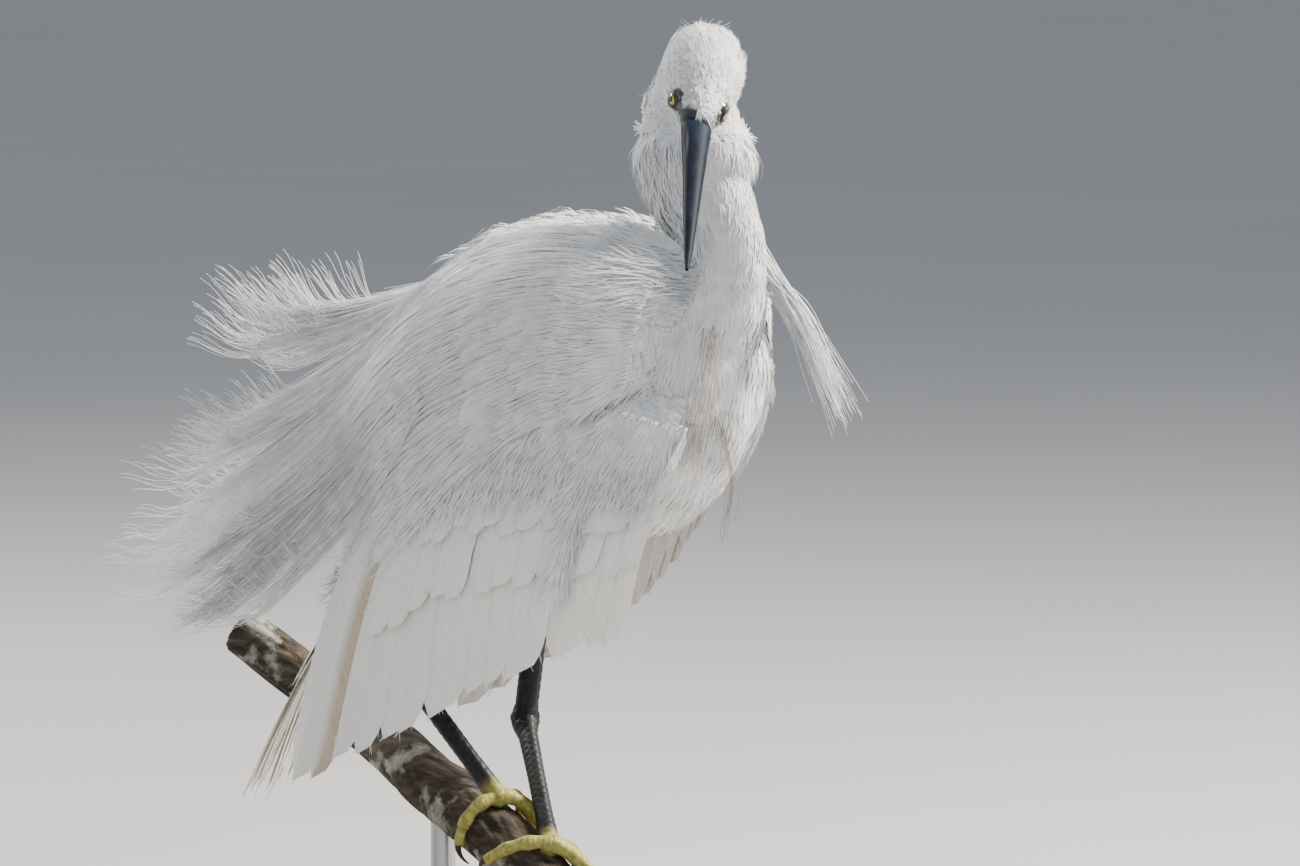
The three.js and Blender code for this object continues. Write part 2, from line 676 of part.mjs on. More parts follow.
// Bunches of locks. Each runs from a line of roots through two lines of places to a line of tips, which curl up.
// A place on a cape is given by its run along it and down it, and stands off it by the plume's height.
const PLUME_HEIGHT = 7;
const BACK_BUNCHES = [
  {
    count: 10, half: [4.8, 1.5], curl: 8, seed: 71,
    roots: [[-26, -3], [-78, -4]],
    over: [[-76, 4, 76], [-84, -4, 73], [-90, -12, 67]],
    through: [[-116, 2, 57], [-121, -8, 51], [-124, -17, 43]],
    tips: [[-199, -8, 52], [-222, -10, 47], [-240, -10, 40], [-230, -14, 25], [-208, -16, 8]],
  },
  {
    count: 15, half: [5.8, 1.5], curl: 7, seed: 83, cape: CAPE_LINES,
    roots: [[-84, -8], [-52, -14]],
    over: [[0.96, 0], [0.85, 0.02], [0.72, 0.03]],
    through: [[1.1, 0.06], [1.08, 0.34], [1.02, 0.6], [0.94, 0.8]],
    tips: [[-212, -38, -8], [-244, -48, -40], [-264, -44, -68], [-244, -58, -76], [-226, -54, -100], [-176, -66, -92]],
  },
  {
    count: 6, half: [5.8, 1.5], curl: 7, seed: 97, cape: LEFT_CAPE_LINES,
    roots: [[-84, 8], [-52, 14]],
    over: [[0.96, 0], [0.85, 0.02], [0.74, 0.03]],
    through: [[1.1, 0.06], [1.06, 0.34], [0.98, 0.58]],
    tips: [[-186, 30, 28], [-214, 44, 0], [-206, 56, -34], [-170, 66, -56]],
  },
];
const BREAST_BUNCHES = [
  {
    count: 7, half: [2.6, 1.3], curl: 0, seed: 101,
    roots: [[44, 6, 82], [44, 8, 66]],
    over: [[52, 13, 72], [51, 14, 58]],
    through: [[58, 18, 58], [56, 20, 44]],
    tips: [[76, 26, 26], [86, 27, -2], [70, 26, 14]],
  },
  {
    count: 6, half: [2.4, 1.3], curl: 0, seed: 113,
    roots: [[36, -6, 56], [42, 4, 52]],
    over: [[49, -16, 44], [55, -1, 40]],
    through: [[50, -20, 26], [58, -5, 24]],
    tips: [[46, -27, -4], [45, -26, -22], [58, -10, -12]],
  },
];

// Away from the middle line of the body, or of the neck
const fromBody = (p) => vec(0, p.y, p.z - 10).normalize();
const fromNeck = (p) => vec(p.x - 34, p.y, 0).normalize();

function bunch({ count, half, curl, seed, cape, roots, over, through, tips }, away, obstacles) {
  const random = seeded(seed);
  const rootLine = roots.map((p) => (p.length === 2 ? onSaddle(...p) : toVec(p)));
  const surface = cape && sheetOf(cape, [0, Math.sign(roots[0][1]), 0.3]);
  const aboveCape = ([u, v]) => surface.at(u, v).addScaledVector(surface.normal(u, v), PLUME_HEIGHT);
  const halfWay = (row) => row.map(([u, v], i) => {
    const from = curveOf(over.map((p) => [...p, 0])).getPoint(i / (row.length - 1));
    return [mix(from.x, u, 0.5), mix(from.y, v, 0.5)];
  });
  const places = cape ? [over, halfWay(through), through].map((row) => row.map(aboveCape)) : [over, through];
  const lines = [rootLine, ...places, tips].map(curveOf);
  const made = [];
  for (let i = 0; i < count; i += 1) {
    const share = (i + 0.5) / count;
    const wander = () => THREE.MathUtils.clamp(share + 0.1 * (random() - 0.5), 0, 1);
    const across = wander();
    const path = lines.map((line) => line.getPoint(across));
    path[path.length - 1] = lines[lines.length - 1].getPoint(wander());
    const [far, tip] = path.slice(-2);
    path.splice(-1, 0, far.clone().lerp(tip, 0.72).add(vec(0, 0, -curl)));
    const form = { shape: PLUME_SHAPE, wide: half[0] * mix(0.85, 1.15, random()), deep: half[1] };
    const piece = clearLock(path, form, away, obstacles);
    if (piece) made.push(piece);
  }
  return made;
}

// Short tufts where the coat is ruffled: each stands on a root inside its body and bends to a tip
function tufts(rows, [wide, deep], obstacles) {
  return rows.map(([root, tip, sag]) => {
    const bend = toVec(root).lerp(toVec(tip), 0.55).add(toVec(sag));
    const form = { shape: TUFT_SHAPE, wide, deep };
    return clearLock([root, bend, tip], form, () => toVec(sag).normalize(), obstacles);
  }).filter((piece) => piece);
}

// Ruffled feathers down the back of the neck
function hindneckTufts(obstacles) {
  const random = seeded(127);
  const rows = [];
  for (const turn of [-44, -6, 36]) {
    for (const height of [86, 100, 114, 124]) {
      const angle = radians(180 + turn + 12 * (random() - 0.5));
      const out = vec(Math.cos(angle), Math.sin(angle), 0);
      const centre = vec(mix(36, 21, (height - 84) / 40), -1, height + 4 * random());
      const root = centre.clone().addScaledVector(out, 13);
      const tip = centre.clone().addScaledVector(out, 26 + 3 * random()).add(vec(0, 0, -17));
      rows.push([root, tip, out.clone().multiplyScalar(3)]);
    }
  }
  return tufts(rows, [3.4, 1.4], obstacles);
}

// A low crest, worn loose on the nape
function crestTufts() {
  const random = seeded(131);
  return [-10, -5, 0, 5, 10].map((y) => {
    const root = onHead(-19, y, -3);
    const tip = onHead(-29 - 3 * random(), y * 1.4, -15 - 4 * random());
    return lock([root, onHead(-28, y * 1.2, -6), tip], { shape: TUFT_SHAPE, wide: 3, deep: 1.3 });
  });
}

// Loose feathers hang at the end of each thigh and under the vent
function thighTufts(leg, obstacles) {
  const random = seeded(137);
  const [x, y, z] = leg.thigh[2];
  return tufts(Array.from({ length: 6 }, (_, i) => {
    const angle = (2 * Math.PI * (i + 0.3)) / 6;
    const out = vec(Math.cos(angle), Math.sin(angle), 0);
    const root = vec(x, y, z + 6).addScaledVector(out, 7.5);
    const tip = vec(x, y, z).addScaledVector(out, 11).add(vec(-2, 0, -17 - 6 * random()));
    return [root, tip, out.clone().multiplyScalar(1.5)];
  }), [3.2, 1.3], obstacles);
}

function ventTufts(obstacles) {
  const random = seeded(139);
  return tufts(Array.from({ length: 7 }, (_, i) => {
    const x = -84 - 9 * i;
    const y = 9 * Math.sin(i * 2.1);
    const depth = -72 - 0.12 * i * i;
    return [[x, y, depth + 14], [x - 10, y * 1.3, depth - 18 - 8 * random()], [-1, 0, -1]];
  }), [4, 1.5], obstacles);
}

// Everything joined into its nodes
const solids = {};
const toeRows = Object.entries(LEGS).flatMap(([name, leg]) => TOES.map(([toeName, turn, reach]) => (
  { key: `${toeName}_${name}`, leg, turn: name === 'left' ? -turn : turn, reach }
)));
const legs = Object.entries(LEGS);
const bodyTool = torso(GAP);
const neckTool = neck(GAP);
const headTool = join([headShell(GAP), lid(1, GAP), lid(-1, GAP), eye(1, GAP), eye(-1, GAP)]);
const branchTool = branch(GAP);
const legTools = legs.flatMap(([, leg]) => [
  limb(leg.thigh, { sides: 12, fine: 1, grow: GAP }),
  shank(leg, GAP),
  tarsus(leg, GAP),
]);

solids.torso = largest(join([torso(), ...ventTufts([...legTools, branchTool])]));
solids.head = largest(join([headSolid, ...crestTufts()]));
solids.bill_upper = largest(cut(mandible(true), nostril(1), nostril(-1)));
solids.bill_lower = mandible(false);
solids.eye_left = eye(1);
solids.eye_right = eye(-1);

const breast = BREAST_BUNCHES.flatMap((row) => bunch(row, fromNeck, [bodyTool, headTool]));
solids.neck = largest(join([
  cut(neck(), bodyTool, headTool),
  ...breast,
  ...hindneckTufts([bodyTool, headTool]),
]));

for (const [name, leg] of legs) {
  const bare = cut(limb(leg.thigh, { sides: 12, fine: 1 }), bodyTool, shank(leg, GAP));
  solids[`thigh_${name}`] = largest(join([bare, ...thighTufts(leg, [bodyTool, shank(leg, GAP)])]));
  solids[`shank_${name}`] = shank(leg);
  solids[`tarsus_${name}`] = largest(cut(tarsus(leg), shank(leg, GAP), branchTool));
}
solids.perch_branch = largest(branch());
for (const { key, leg, turn, reach } of toeRows) {
  const bare = cut(toe(leg, turn, reach), branchTool, tarsus(leg, GAP));
  const others = toeRows.filter((other) => other.leg === leg && other.reach > reach);
  solids[`toe_${key}`] = largest(cut(bare, ...others.map((other) => toe(leg, other.turn, other.reach, GAP))));
  solids[`claw_${key}`] = claw(leg, turn, reach);
}

for (const [name, side] of [['right', -1], ['left', 1]]) {
  solids[`wing_${name}`] = largest(cut(wing(side), bodyTool, neckTool, saddle(GAP), ...legTools));
}
const plumeObstacles = [neckTool, solids.wing_right, solids.wing_left];
solids.plumes_back = largest(cut(
  join([saddle(), ...BACK_BUNCHES.flatMap((row) => bunch(row, fromBody, plumeObstacles))]),
  bodyTool, neckTool,
));
solids.tail = largest(cut(tail(), bodyTool, branchTool));

// Stand
const [baseX, baseY, baseZ] = BASE_SIZE;
const baseShape = new THREE.Shape();
const corner = 14;
baseShape.moveTo(-baseX / 2 + corner, -baseY / 2);
baseShape.lineTo(baseX / 2 - corner, -baseY / 2);
baseShape.absarc(baseX / 2 - corner, -baseY / 2 + corner, corner, -Math.PI / 2, 0);
baseShape.lineTo(baseX / 2, baseY / 2 - corner);
baseShape.absarc(baseX / 2 - corner, baseY / 2 - corner, corner, 0, Math.PI / 2);
baseShape.lineTo(-baseX / 2 + corner, baseY / 2);
baseShape.absarc(-baseX / 2 + corner, baseY / 2 - corner, corner, Math.PI / 2, Math.PI);
baseShape.lineTo(-baseX / 2, -baseY / 2 + corner);
baseShape.absarc(-baseX / 2 + corner, -baseY / 2 + corner, corner, Math.PI, 1.5 * Math.PI);
const base = new THREE.ExtrudeGeometry(baseShape, {
  depth: baseZ - 4,
  bevelSize: 2,
  bevelThickness: 2,
  bevelOffset: -2,
  bevelSegments: 1,
  curveSegments: 4,
});
base.translate(-SHIFT_X, 0, 2 - LIFT);
solids.stand_base = solidOf(base);
const rodBottom = -LIFT + baseZ + GAP;
const rod = new THREE.CylinderGeometry(ROD_RADIUS, ROD_RADIUS, 90, 20);
rod.rotateX(Math.PI / 2);
const rodUnder = branchPath.getPointAt(ROD_AT);
rod.translate(rodUnder.x, rodUnder.y, rodBottom + 45);
solids.stand_rod = largest(cut(solidOf(rod), branchTool));

// Colours are plain stand-ins
const COLOURS = {
  torso: 0xf4f4f2, neck: 0xf4f4f2, head: 0xf4f4f2, wing: 0xf0f0ec, plumes: 0xffffff, breast: 0xffffff, tail: 0xf0f0ec,
  bill: 0x20262e, eye: 0xe8c020, thigh: 0xf4f4f2, shank: 0x16171a, tarsus: 0x16171a, toe: 0xb0a850,
  claw: 0x1c1c1c, perch: 0x4a3f36, stand: 0x8a6a48,
};

const root = new THREE.Group();
root.name = 'little_egret';
for (const [name, solid] of Object.entries(solids)) {
  const mesh = solid.getMesh();
  const geometry = new THREE.BufferGeometry();
  geometry.setAttribute('position', new THREE.Float32BufferAttribute(mesh.vertProperties, 3));
  geometry.setIndex(Array.from(mesh.triVerts));
  geometry.translate(SHIFT_X, 0, LIFT);
  geometry.computeVertexNormals();
  const colour = COLOURS[name.split('_')[0]];
  const item = new THREE.Mesh(geometry, new THREE.MeshStandardMaterial({ color: colour, roughness: 0.7 }));
  item.name = name;
  root.add(item);
}

export default root;
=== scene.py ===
import math

import bpy
import numpy as np
from mathutils import Matrix, Vector, kdtree


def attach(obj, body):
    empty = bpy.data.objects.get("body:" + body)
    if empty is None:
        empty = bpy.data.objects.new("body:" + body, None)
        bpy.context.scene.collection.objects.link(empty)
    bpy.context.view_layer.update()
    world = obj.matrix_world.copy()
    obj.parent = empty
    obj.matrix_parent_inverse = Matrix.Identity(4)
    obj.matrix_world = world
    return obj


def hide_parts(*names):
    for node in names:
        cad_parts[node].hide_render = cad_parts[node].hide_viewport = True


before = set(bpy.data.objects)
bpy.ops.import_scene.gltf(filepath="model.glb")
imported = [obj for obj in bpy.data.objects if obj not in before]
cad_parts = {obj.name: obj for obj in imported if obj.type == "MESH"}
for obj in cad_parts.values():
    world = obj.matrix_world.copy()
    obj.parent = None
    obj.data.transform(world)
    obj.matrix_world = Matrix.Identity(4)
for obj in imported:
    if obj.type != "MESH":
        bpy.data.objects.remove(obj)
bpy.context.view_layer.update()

# A little egret stands on a cut branch. Places are in millimetres from a point between its shoulders,
# with x ahead, y to its left and z up, until a mesh is made of them.
ORIGIN = np.array([80.0, 0.0, 246.0])
MM = 0.001

# Camera
PHOTO_WIDTH = 1300
PIXELS_PER_MM = 2.6
CAMERA_AZIMUTH = math.radians(-45)
CAMERA_ELEVATION = math.radians(5)
CAMERA_DISTANCE = 4.0
CAMERA_REACH = 60
SENSOR = 36.0

back = Vector((
    math.cos(CAMERA_ELEVATION) * math.cos(CAMERA_AZIMUTH),
    math.cos(CAMERA_ELEVATION) * math.sin(CAMERA_AZIMUTH),
    math.sin(CAMERA_ELEVATION),
))
right = Vector((0, 0, 1)).cross(back).normalized()
above = back.cross(right)
target = Vector(ORIGIN * MM)

camera_data = bpy.data.cameras.new("camera")
camera_data.sensor_width = SENSOR
camera_data.lens = SENSOR * CAMERA_DISTANCE / (PHOTO_WIDTH / PIXELS_PER_MM * MM)
camera_data.clip_end = CAMERA_REACH
camera = bpy.data.objects.new("camera", camera_data)
facing = Matrix((right, above, back)).transposed().to_4x4()
camera.matrix_world = Matrix.Translation(target + CAMERA_DISTANCE * back) @ facing
bpy.context.scene.collection.objects.link(camera)
bpy.context.scene.camera = camera


# Curves and surfaces
def unit(v):
    return v / np.maximum(np.linalg.norm(v, axis=-1, keepdims=True), 1e-9)


def squared(v, n):
    """The part of v that is square to the unit vector n."""
    return v - np.sum(v * n, -1, keepdims=True) * n


def mix(a, b, t):
    return a + (b - a) * t


def ease(a, b, x):
    t = np.clip((x - a) / (b - a), 0, 1)
    return t * t * (3 - 2 * t)


def spline(knots, t):
    """Places at t along the curve through the knots. Each t may have its own row of knots."""
    knots = np.asarray(knots, float)
    t = np.asarray(t, float)
    first = 2 * knots[:1] - knots[1:2]
    last = 2 * knots[-1:] - knots[-2:-1]
    padded = np.concatenate([first, knots, last])
    x = np.clip(t, 0, 1) * (len(knots) - 1)
    i = np.minimum(np.floor(x).astype(int), len(knots) - 2)
    f = (x - i)[..., None]
    if knots.ndim == 2:
        p0, p1, p2, p3 = (padded[i + k] for k in range(4))
    else:
        p0, p1, p2, p3 = (np.take_along_axis(padded, (i + k)[None, ..., None], 0)[0] for k in range(4))
    bend = 2 * p0 - 5 * p1 + 4 * p2 - p3
    twist = 3 * p1 - p0 - 3 * p2 + p3
    return 0.5 * (2 * p1 + (p2 - p0) * f + bend * f ** 2 + twist * f ** 3)


class Sheet:
    """A surface through three lines of points, with u along the lines and v across them."""

    def __init__(self, lines, outward):
        self.lines = [np.array(line, float) for line in lines]
        self.outward = np.array(outward, float)

    def inside(self, u, v):
        return spline(np.stack([spline(line, u) for line in self.lines]), v)

    def at(self, u, v):
        u, v = np.broadcast_arrays(np.asarray(u, float), np.asarray(v, float))
        cu, cv = np.clip(u, 0, 1), np.clip(v, 0, 1)
        step = 0.04
        point = self.inside(cu, cv)
        down = (self.inside(cu, np.ones_like(cv)) - self.inside(cu, np.full_like(cv, 1 - step))) / step
        along = (self.inside(np.ones_like(cu), cv) - self.inside(np.full_like(cu, 1 - step), cv)) / step
        return point + down * np.maximum(v - 1, 0)[..., None] + along * np.maximum(u - 1, 0)[..., None]

    def normal(self, u, v):
        step = 0.02
        u, v = np.broadcast_arrays(np.asarray(u, float), np.asarray(v, float))
        u, v = np.clip(u, step, 1 - step), np.clip(v, step, 1 - step)
        along = self.at(u + step, v) - self.at(u - step, v)
        down = self.at(u, v + step) - self.at(u, v - step)
        n = unit(np.cross(along, down))
        return n * np.where(n @ self.outward < 0, -1, 1)[..., None]


# Meshes
def make(name, points, faces, nodes, material, uv=None, marks=None):
    """A joined mesh of quads and triangles, which rides on the root and replaces the named nodes."""
    mesh = bpy.data.meshes.new(name)
    points = (np.asarray(points, float).reshape(-1, 3) + ORIGIN) * MM
    faces = [np.asarray(block) for block in faces if len(block)]
    corners = np.concatenate([block.ravel() for block in faces]).astype(np.int32)
    sizes = np.concatenate([np.full(len(block), block.shape[1]) for block in faces])
    starts = np.concatenate([[0], np.cumsum(sizes)[:-1]]).astype(np.int32)
    mesh.vertices.add(len(points))
    mesh.vertices.foreach_set("co", points.ravel().astype(np.float32))
    mesh.loops.add(len(corners))
    mesh.loops.foreach_set("vertex_index", corners)
    mesh.polygons.add(len(starts))
    mesh.polygons.foreach_set("loop_start", starts)
    if uv is not None:
        layer = mesh.uv_layers.new(name="OFBake")
        layer.data.foreach_set("uv", np.asarray(uv, np.float32).reshape(-1, 2)[corners].ravel())
    for key, values in (marks or {}).items():
        mark = mesh.attributes.new(key, "FLOAT", "POINT")
        mark.data.foreach_set("value", np.asarray(values, np.float32).ravel())
    mesh.update(calc_edges=True)
    mesh.validate()
    mesh.shade_smooth()
    mesh.materials.append(material)
    piece = bpy.data.objects.new(name, mesh)
    bpy.context.scene.collection.objects.link(piece)
    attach(piece, "root")
    if nodes:
        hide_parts(*nodes)
    return piece


def grid_faces(count, rows, columns, closed=False, looped=False):
    """Quads of several grids of rows by columns, which may close across and may close along."""
    r = np.arange(rows if looped else rows - 1)[:, None]
    c = np.arange(columns if closed else columns - 1)[None, :]
    s, d = (r + 1) % rows, (c + 1) % columns
    corners = (r * columns + c, r * columns + d, s * columns + d, s * columns + c)
    quads = np.stack(corners, -1).reshape(-1, 4)
    return (quads[None] + np.arange(count)[:, None, None] * rows * columns).reshape(-1, 4)


def rings(centres, halves, across, sides, bulge=1):
    """Points of rings round a line, each with its two half widths."""
    ahead = unit(np.gradient(centres, axis=0))
    side = unit(squared(np.array(across, float), ahead))
    up = np.cross(ahead, side)
    angle = np.linspace(0, 2 * math.pi, sides, endpoint=False)
    x = halves[:, :1] * np.cos(angle) * bulge
    y = halves[:, 1:2] * np.sin(angle) * bulge
    return centres[:, None] + side[:, None] * x[..., None] + up[:, None] * y[..., None]


def tube(points):
    """Faces and points of one closed tube from its rings."""
    rows, sides = points.shape[:2]
    flat = points.reshape(-1, 3)
    ends = np.array([points[0].mean(0), points[-1].mean(0)])
    i = np.arange(sides)
    j = (i + 1) % sides
    start = np.stack([np.full(sides, rows * sides), j, i], -1)
    stop = np.stack([np.full(sides, rows * sides + 1), (rows - 1) * sides + i, (rows - 1) * sides + j], -1)
    return np.concatenate([flat, ends]), [grid_faces(1, rows, sides, True), np.concatenate([start, stop])]


def join_tubes(tubes):
    points, quads, triangles, count = [], [], [], 0
    for place, (four, three) in tubes:
        points.append(place)
        quads.append(four + count)
        triangles.append(three + count)
        count += len(place)
    return np.concatenate(points), [np.concatenate(quads), np.concatenate(triangles)]


def ball(centre, radius, rows, columns, axis):
    """A sphere whose poles lie on the axis, and the angle of each of its points from that axis."""
    side = unit(np.cross(axis, [0.3, 0.2, 0.9]))
    up = np.cross(axis, side)
    polar = np.linspace(0.001, math.pi - 0.001, rows)
    turn = np.linspace(0, 2 * math.pi, columns, endpoint=False)
    around = np.cos(turn)[:, None] * side + np.sin(turn)[:, None] * up
    points = np.cos(polar)[:, None, None] * axis + np.sin(polar)[:, None, None] * around[None]
    return centre + radius * points, np.repeat(polar, columns)


# Materials
class Finish:
    """A material of one shader, with small helpers for the nodes before it."""

    def __init__(self, name, **sockets):
        self.material = bpy.data.materials.new(name)
        self.material.use_nodes = True
        self.tree = self.material.node_tree
        self.shader = self.tree.nodes["Principled BSDF"]
        for key, value in sockets.items():
            self.shader.inputs[key.replace("_", " ")].default_value = value
        self.here = self.node("ShaderNodeTexCoord").outputs["Object"]

    def node(self, kind, **settings):
        node = self.tree.nodes.new(kind)
        for key, value in settings.items():
            setattr(node, key, value)
        return node

    def link(self, source, socket):
        self.tree.links.new(source, socket)

    def mark(self, name):
        return self.node("ShaderNodeAttribute", attribute_name=name).outputs["Fac"]

    def stretched(self, scale, source=None):
        node = self.node("ShaderNodeMapping")
        node.inputs["Scale"].default_value = scale
        self.link(source or self.here, node.inputs["Vector"])
        return node.outputs["Vector"]

    def noise(self, scale, detail=3, source=None, rough=0.55):
        node = self.node("ShaderNodeTexNoise")
        node.inputs["Scale"].default_value = scale
        node.inputs["Detail"].default_value = detail
        node.inputs["Roughness"].default_value = rough
        self.link(source or self.here, node.inputs["Vector"])
        return node.outputs["Fac"]

    def cells(self, scale, feature="F1"):
        node = self.node("ShaderNodeTexVoronoi", feature=feature)
        node.inputs["Scale"].default_value = scale
        self.link(self.here, node.inputs["Vector"])
        return node.outputs["Distance"]

    def ramp(self, factor, stops):
        node = self.node("ShaderNodeValToRGB")
        ramp = node.color_ramp
        while len(ramp.elements) < len(stops):
            ramp.elements.new(0.5)
        for element, (place, colour) in zip(ramp.elements, stops):
            element.position = place
            element.color = (*colour, 1)
        self.link(factor, node.inputs["Fac"])
        return node.outputs["Color"]

    def math(self, operation, a, b):
        node = self.node("ShaderNodeMath", operation=operation)
        for socket, value in zip(node.inputs, (a, b)):
            if isinstance(value, (int, float)):
                socket.default_value = value
            else:
                self.link(value, socket)
        return node.outputs["Value"]

    def blend(self, factor, a, b):
        node = self.node("ShaderNodeMix", data_type="RGBA")
        for socket, value in ((node.inputs[0], factor), (node.inputs[6], a), (node.inputs[7], b)):
            if isinstance(value, tuple):
                socket.default_value = (*value, 1)
            elif isinstance(value, (int, float)):
                socket.default_value = value
            else:
                self.link(value, socket)
        return node.outputs[2]

    def colour(self, source):
        self.link(source, self.shader.inputs["Base Color"])

    def rough(self, factor, low, high):
        spread = self.node("ShaderNodeMapRange")
        spread.inputs["To Min"].default_value = low
        spread.inputs["To Max"].default_value = high
        self.link(factor, spread.inputs["Value"])
        self.link(spread.outputs["Result"], self.shader.inputs["Roughness"])

    def bump(self, height, strength, depth):
        node = self.node("ShaderNodeBump")
        node.inputs["Strength"].default_value = strength
        node.inputs["Distance"].default_value = depth
        self.link(height, node.inputs["Height"])
        self.link(node.outputs["Normal"], self.shader.inputs["Normal"])


WHITE_LOW = (0.67, 0.685, 0.70)
WHITE_HIGH = (0.90, 0.895, 0.88)


def down_finish(name, low=WHITE_LOW, high=WHITE_HIGH):
    finish = Finish(name, Roughness=0.62, Sheen_Weight=0.25, Sheen_Roughness=0.5, Specular_IOR_Level=0.3)
    grain = finish.noise(140, 4)
    finish.colour(finish.ramp(grain, [(0.25, low), (0.65, high)]))
    finish.rough(grain, 0.5, 0.72)
    return finish


def vane_finish(name):
    """Feathers with barbs that run out from the shaft, a painted warm glow of light shining through the
    vanes, and a painted tan shade where the mark says so.
    """
    finish = down_finish(name)
    along, aside = finish.mark("along"), finish.mark("aside")
    barb = finish.math("SUBTRACT", along, finish.math("ABSOLUTE", aside, 0))
    joined = finish.node("ShaderNodeCombineXYZ")
    finish.link(barb, joined.inputs["X"])
    finish.link(aside, joined.inputs["Y"])
    streaks = finish.noise(1, 3, finish.stretched((1.9, 0.12, 1), joined.outputs["Vector"]))
    # The vanes' warm cream is painted light: a glow of warm light shining through the feathers, painted
    # into their white.
    white = finish.ramp(streaks, [(0.25, (0.74, 0.72, 0.67)), (0.6, (0.91, 0.885, 0.83))])
    # Painted shade: the tan of a quill's inner surface in shadow, with warm light shining through it.
    painted_tan = finish.ramp(streaks, [(0.25, (0.34, 0.24, 0.13)), (0.75, (0.66, 0.52, 0.34))])
    finish.colour(finish.blend(finish.mark("painted_shade"), white, painted_tan))
    finish.bump(streaks, 0.5, 0.0004)
    return finish.material


def skin_finish():
    finish = down_finish("skin_white")
    grain = finish.noise(420, 4)
    white = finish.ramp(grain, [(0.25, WHITE_LOW), (0.65, WHITE_HIGH)])
    green = finish.ramp(grain, [(0.3, (0.05, 0.06, 0.045)), (0.7, (0.17, 0.18, 0.12))])
    blue = finish.ramp(grain, [(0.3, (0.012, 0.017, 0.026)), (0.7, (0.05, 0.065, 0.085))])
    bare = finish.blend(finish.mark("near_bill"), green, blue)
    finish.colour(finish.blend(finish.mark("bare"), white, bare))
    finish.bump(finish.cells(900), 0.35, 0.0003)
    return finish.material


def bill_finish():
    finish = Finish("bill_horn", Roughness=0.5, Specular_IOR_Level=0.06)
    streaks = finish.noise(1, 4, finish.stretched((260, 260, 90)))
    dark = finish.ramp(streaks, [(0.3, (0.004, 0.006, 0.011)), (0.75, (0.013, 0.019, 0.032))])
    base = finish.ramp(streaks, [(0.3, (0.006, 0.010, 0.018)), (0.75, (0.020, 0.030, 0.050))])
    finish.colour(finish.blend(finish.mark("base"), dark, base))
    finish.rough(streaks, 0.46, 0.62)
    finish.bump(streaks, 0.25, 0.0003)
    return finish.material


def eye_finish():
    finish = Finish("eye_wet", Roughness=0.06, Specular_IOR_Level=0.7, Coat_Weight=1.0)
    spokes = finish.math("MULTIPLY", finish.noise(1600, 3), 0.05)
    ring = finish.math("ADD", finish.mark("ring"), spokes)
    finish.colour(finish.ramp(ring, [
        (0.0, (0.004, 0.004, 0.004)),
        (0.30, (0.004, 0.004, 0.004)),
        (0.325, (0.50, 0.30, 0.02)),
        (0.44, (0.74, 0.57, 0.06)),
        (0.58, (0.52, 0.36, 0.03)),
        (0.66, (0.03, 0.028, 0.02)),
    ]))
    return finish.material


def leg_finish(name, dark, pale, tint=None):
    finish = Finish(name, Roughness=0.5, Specular_IOR_Level=0.25)
    grain = finish.noise(500, 4)
    tone = finish.ramp(grain, [(0.3, dark), (0.75, pale)])
    if tint:
        yellow = finish.ramp(grain, [(0.3, tint[0]), (0.75, tint[1])])
        tone = finish.blend(finish.mark("yellow"), tone, yellow)
    finish.colour(tone)
    finish.rough(grain, 0.38, 0.62)
    finish.bump(finish.cells(620, feature="SMOOTH_F1"), 0.4, 0.0004)
    return finish.material


def bark_finish():
    finish = Finish("bark_rough", Roughness=0.9, Specular_IOR_Level=0.2)
    ridges = finish.noise(1, 6, finish.stretched((60, 240, 240)), 0.65)
    wood = finish.ramp(ridges, [
        (0.3, (0.012, 0.010, 0.008)),
        (0.5, (0.055, 0.042, 0.03)),
        (0.75, (0.15, 0.115, 0.08)),
    ])
    spots = finish.noise(46, 5)
    cover = finish.ramp(spots, [(0.54, (0, 0, 0)), (0.6, (1, 1, 1))])
    crust = finish.ramp(finish.noise(260, 5), [(0.3, (0.17, 0.18, 0.15)), (0.7, (0.42, 0.42, 0.37))])
    cut = finish.ramp(finish.noise(120, 4), [(0.3, (0.30, 0.21, 0.12)), (0.7, (0.46, 0.34, 0.21))])
    finish.colour(finish.blend(finish.mark("cut"), finish.blend(cover, wood, crust), cut))
    finish.rough(spots, 0.75, 0.97)
    finish.bump(ridges, 0.9, 0.002)
    return finish.material


def wood_finish():
    finish = Finish("stand_oiled_wood", Roughness=0.45)
    grain = finish.noise(1, 6, finish.stretched((14, 150, 150)), 0.6)
    finish.colour(finish.ramp(grain, [
        (0.3, (0.17, 0.09, 0.045)),
        (0.5, (0.27, 0.155, 0.08)),
        (0.72, (0.36, 0.22, 0.12)),
    ]))
    finish.rough(grain, 0.36, 0.56)
    finish.bump(grain, 0.2, 0.0004)
    return finish.material


def steel_finish():
    finish = Finish("stand_satin_steel", Metallic=1.0, Roughness=0.35)
    grain = finish.noise(1, 4, finish.stretched((900, 900, 20)))
    finish.colour(finish.ramp(grain, [(0.3, (0.42, 0.42, 0.43)), (0.7, (0.60, 0.60, 0.61))]))
    finish.rough(grain, 0.28, 0.44)
    return finish.material


down = down_finish("down_white").material
vanes = vane_finish("vane_white")

# Head frame: x towards the bill tip, y left and z up
HEAD_CENTRE = np.array([28.0, -1.0, 137.0])
HEAD_TURN = (
    Matrix.Rotation(math.radians(-47.8), 3, "Z")
    @ Matrix.Rotation(math.radians(34.4), 3, "Y")
    @ Matrix.Rotation(math.radians(-20), 3, "X")
)
HEAD_TURN = np.array(HEAD_TURN)
BILL_START = 28.9
BILL_LENGTH = 85.0
MOUTH = -1.2
EYE_PLACE = (16.2, 7.2, 0.3)
EYE_RADIUS = 4.7


def on_head(points):
    return np.asarray(points, float) @ HEAD_TURN.T + HEAD_CENTRE


def from_head(points):
    return (points - HEAD_CENTRE) @ HEAD_TURN


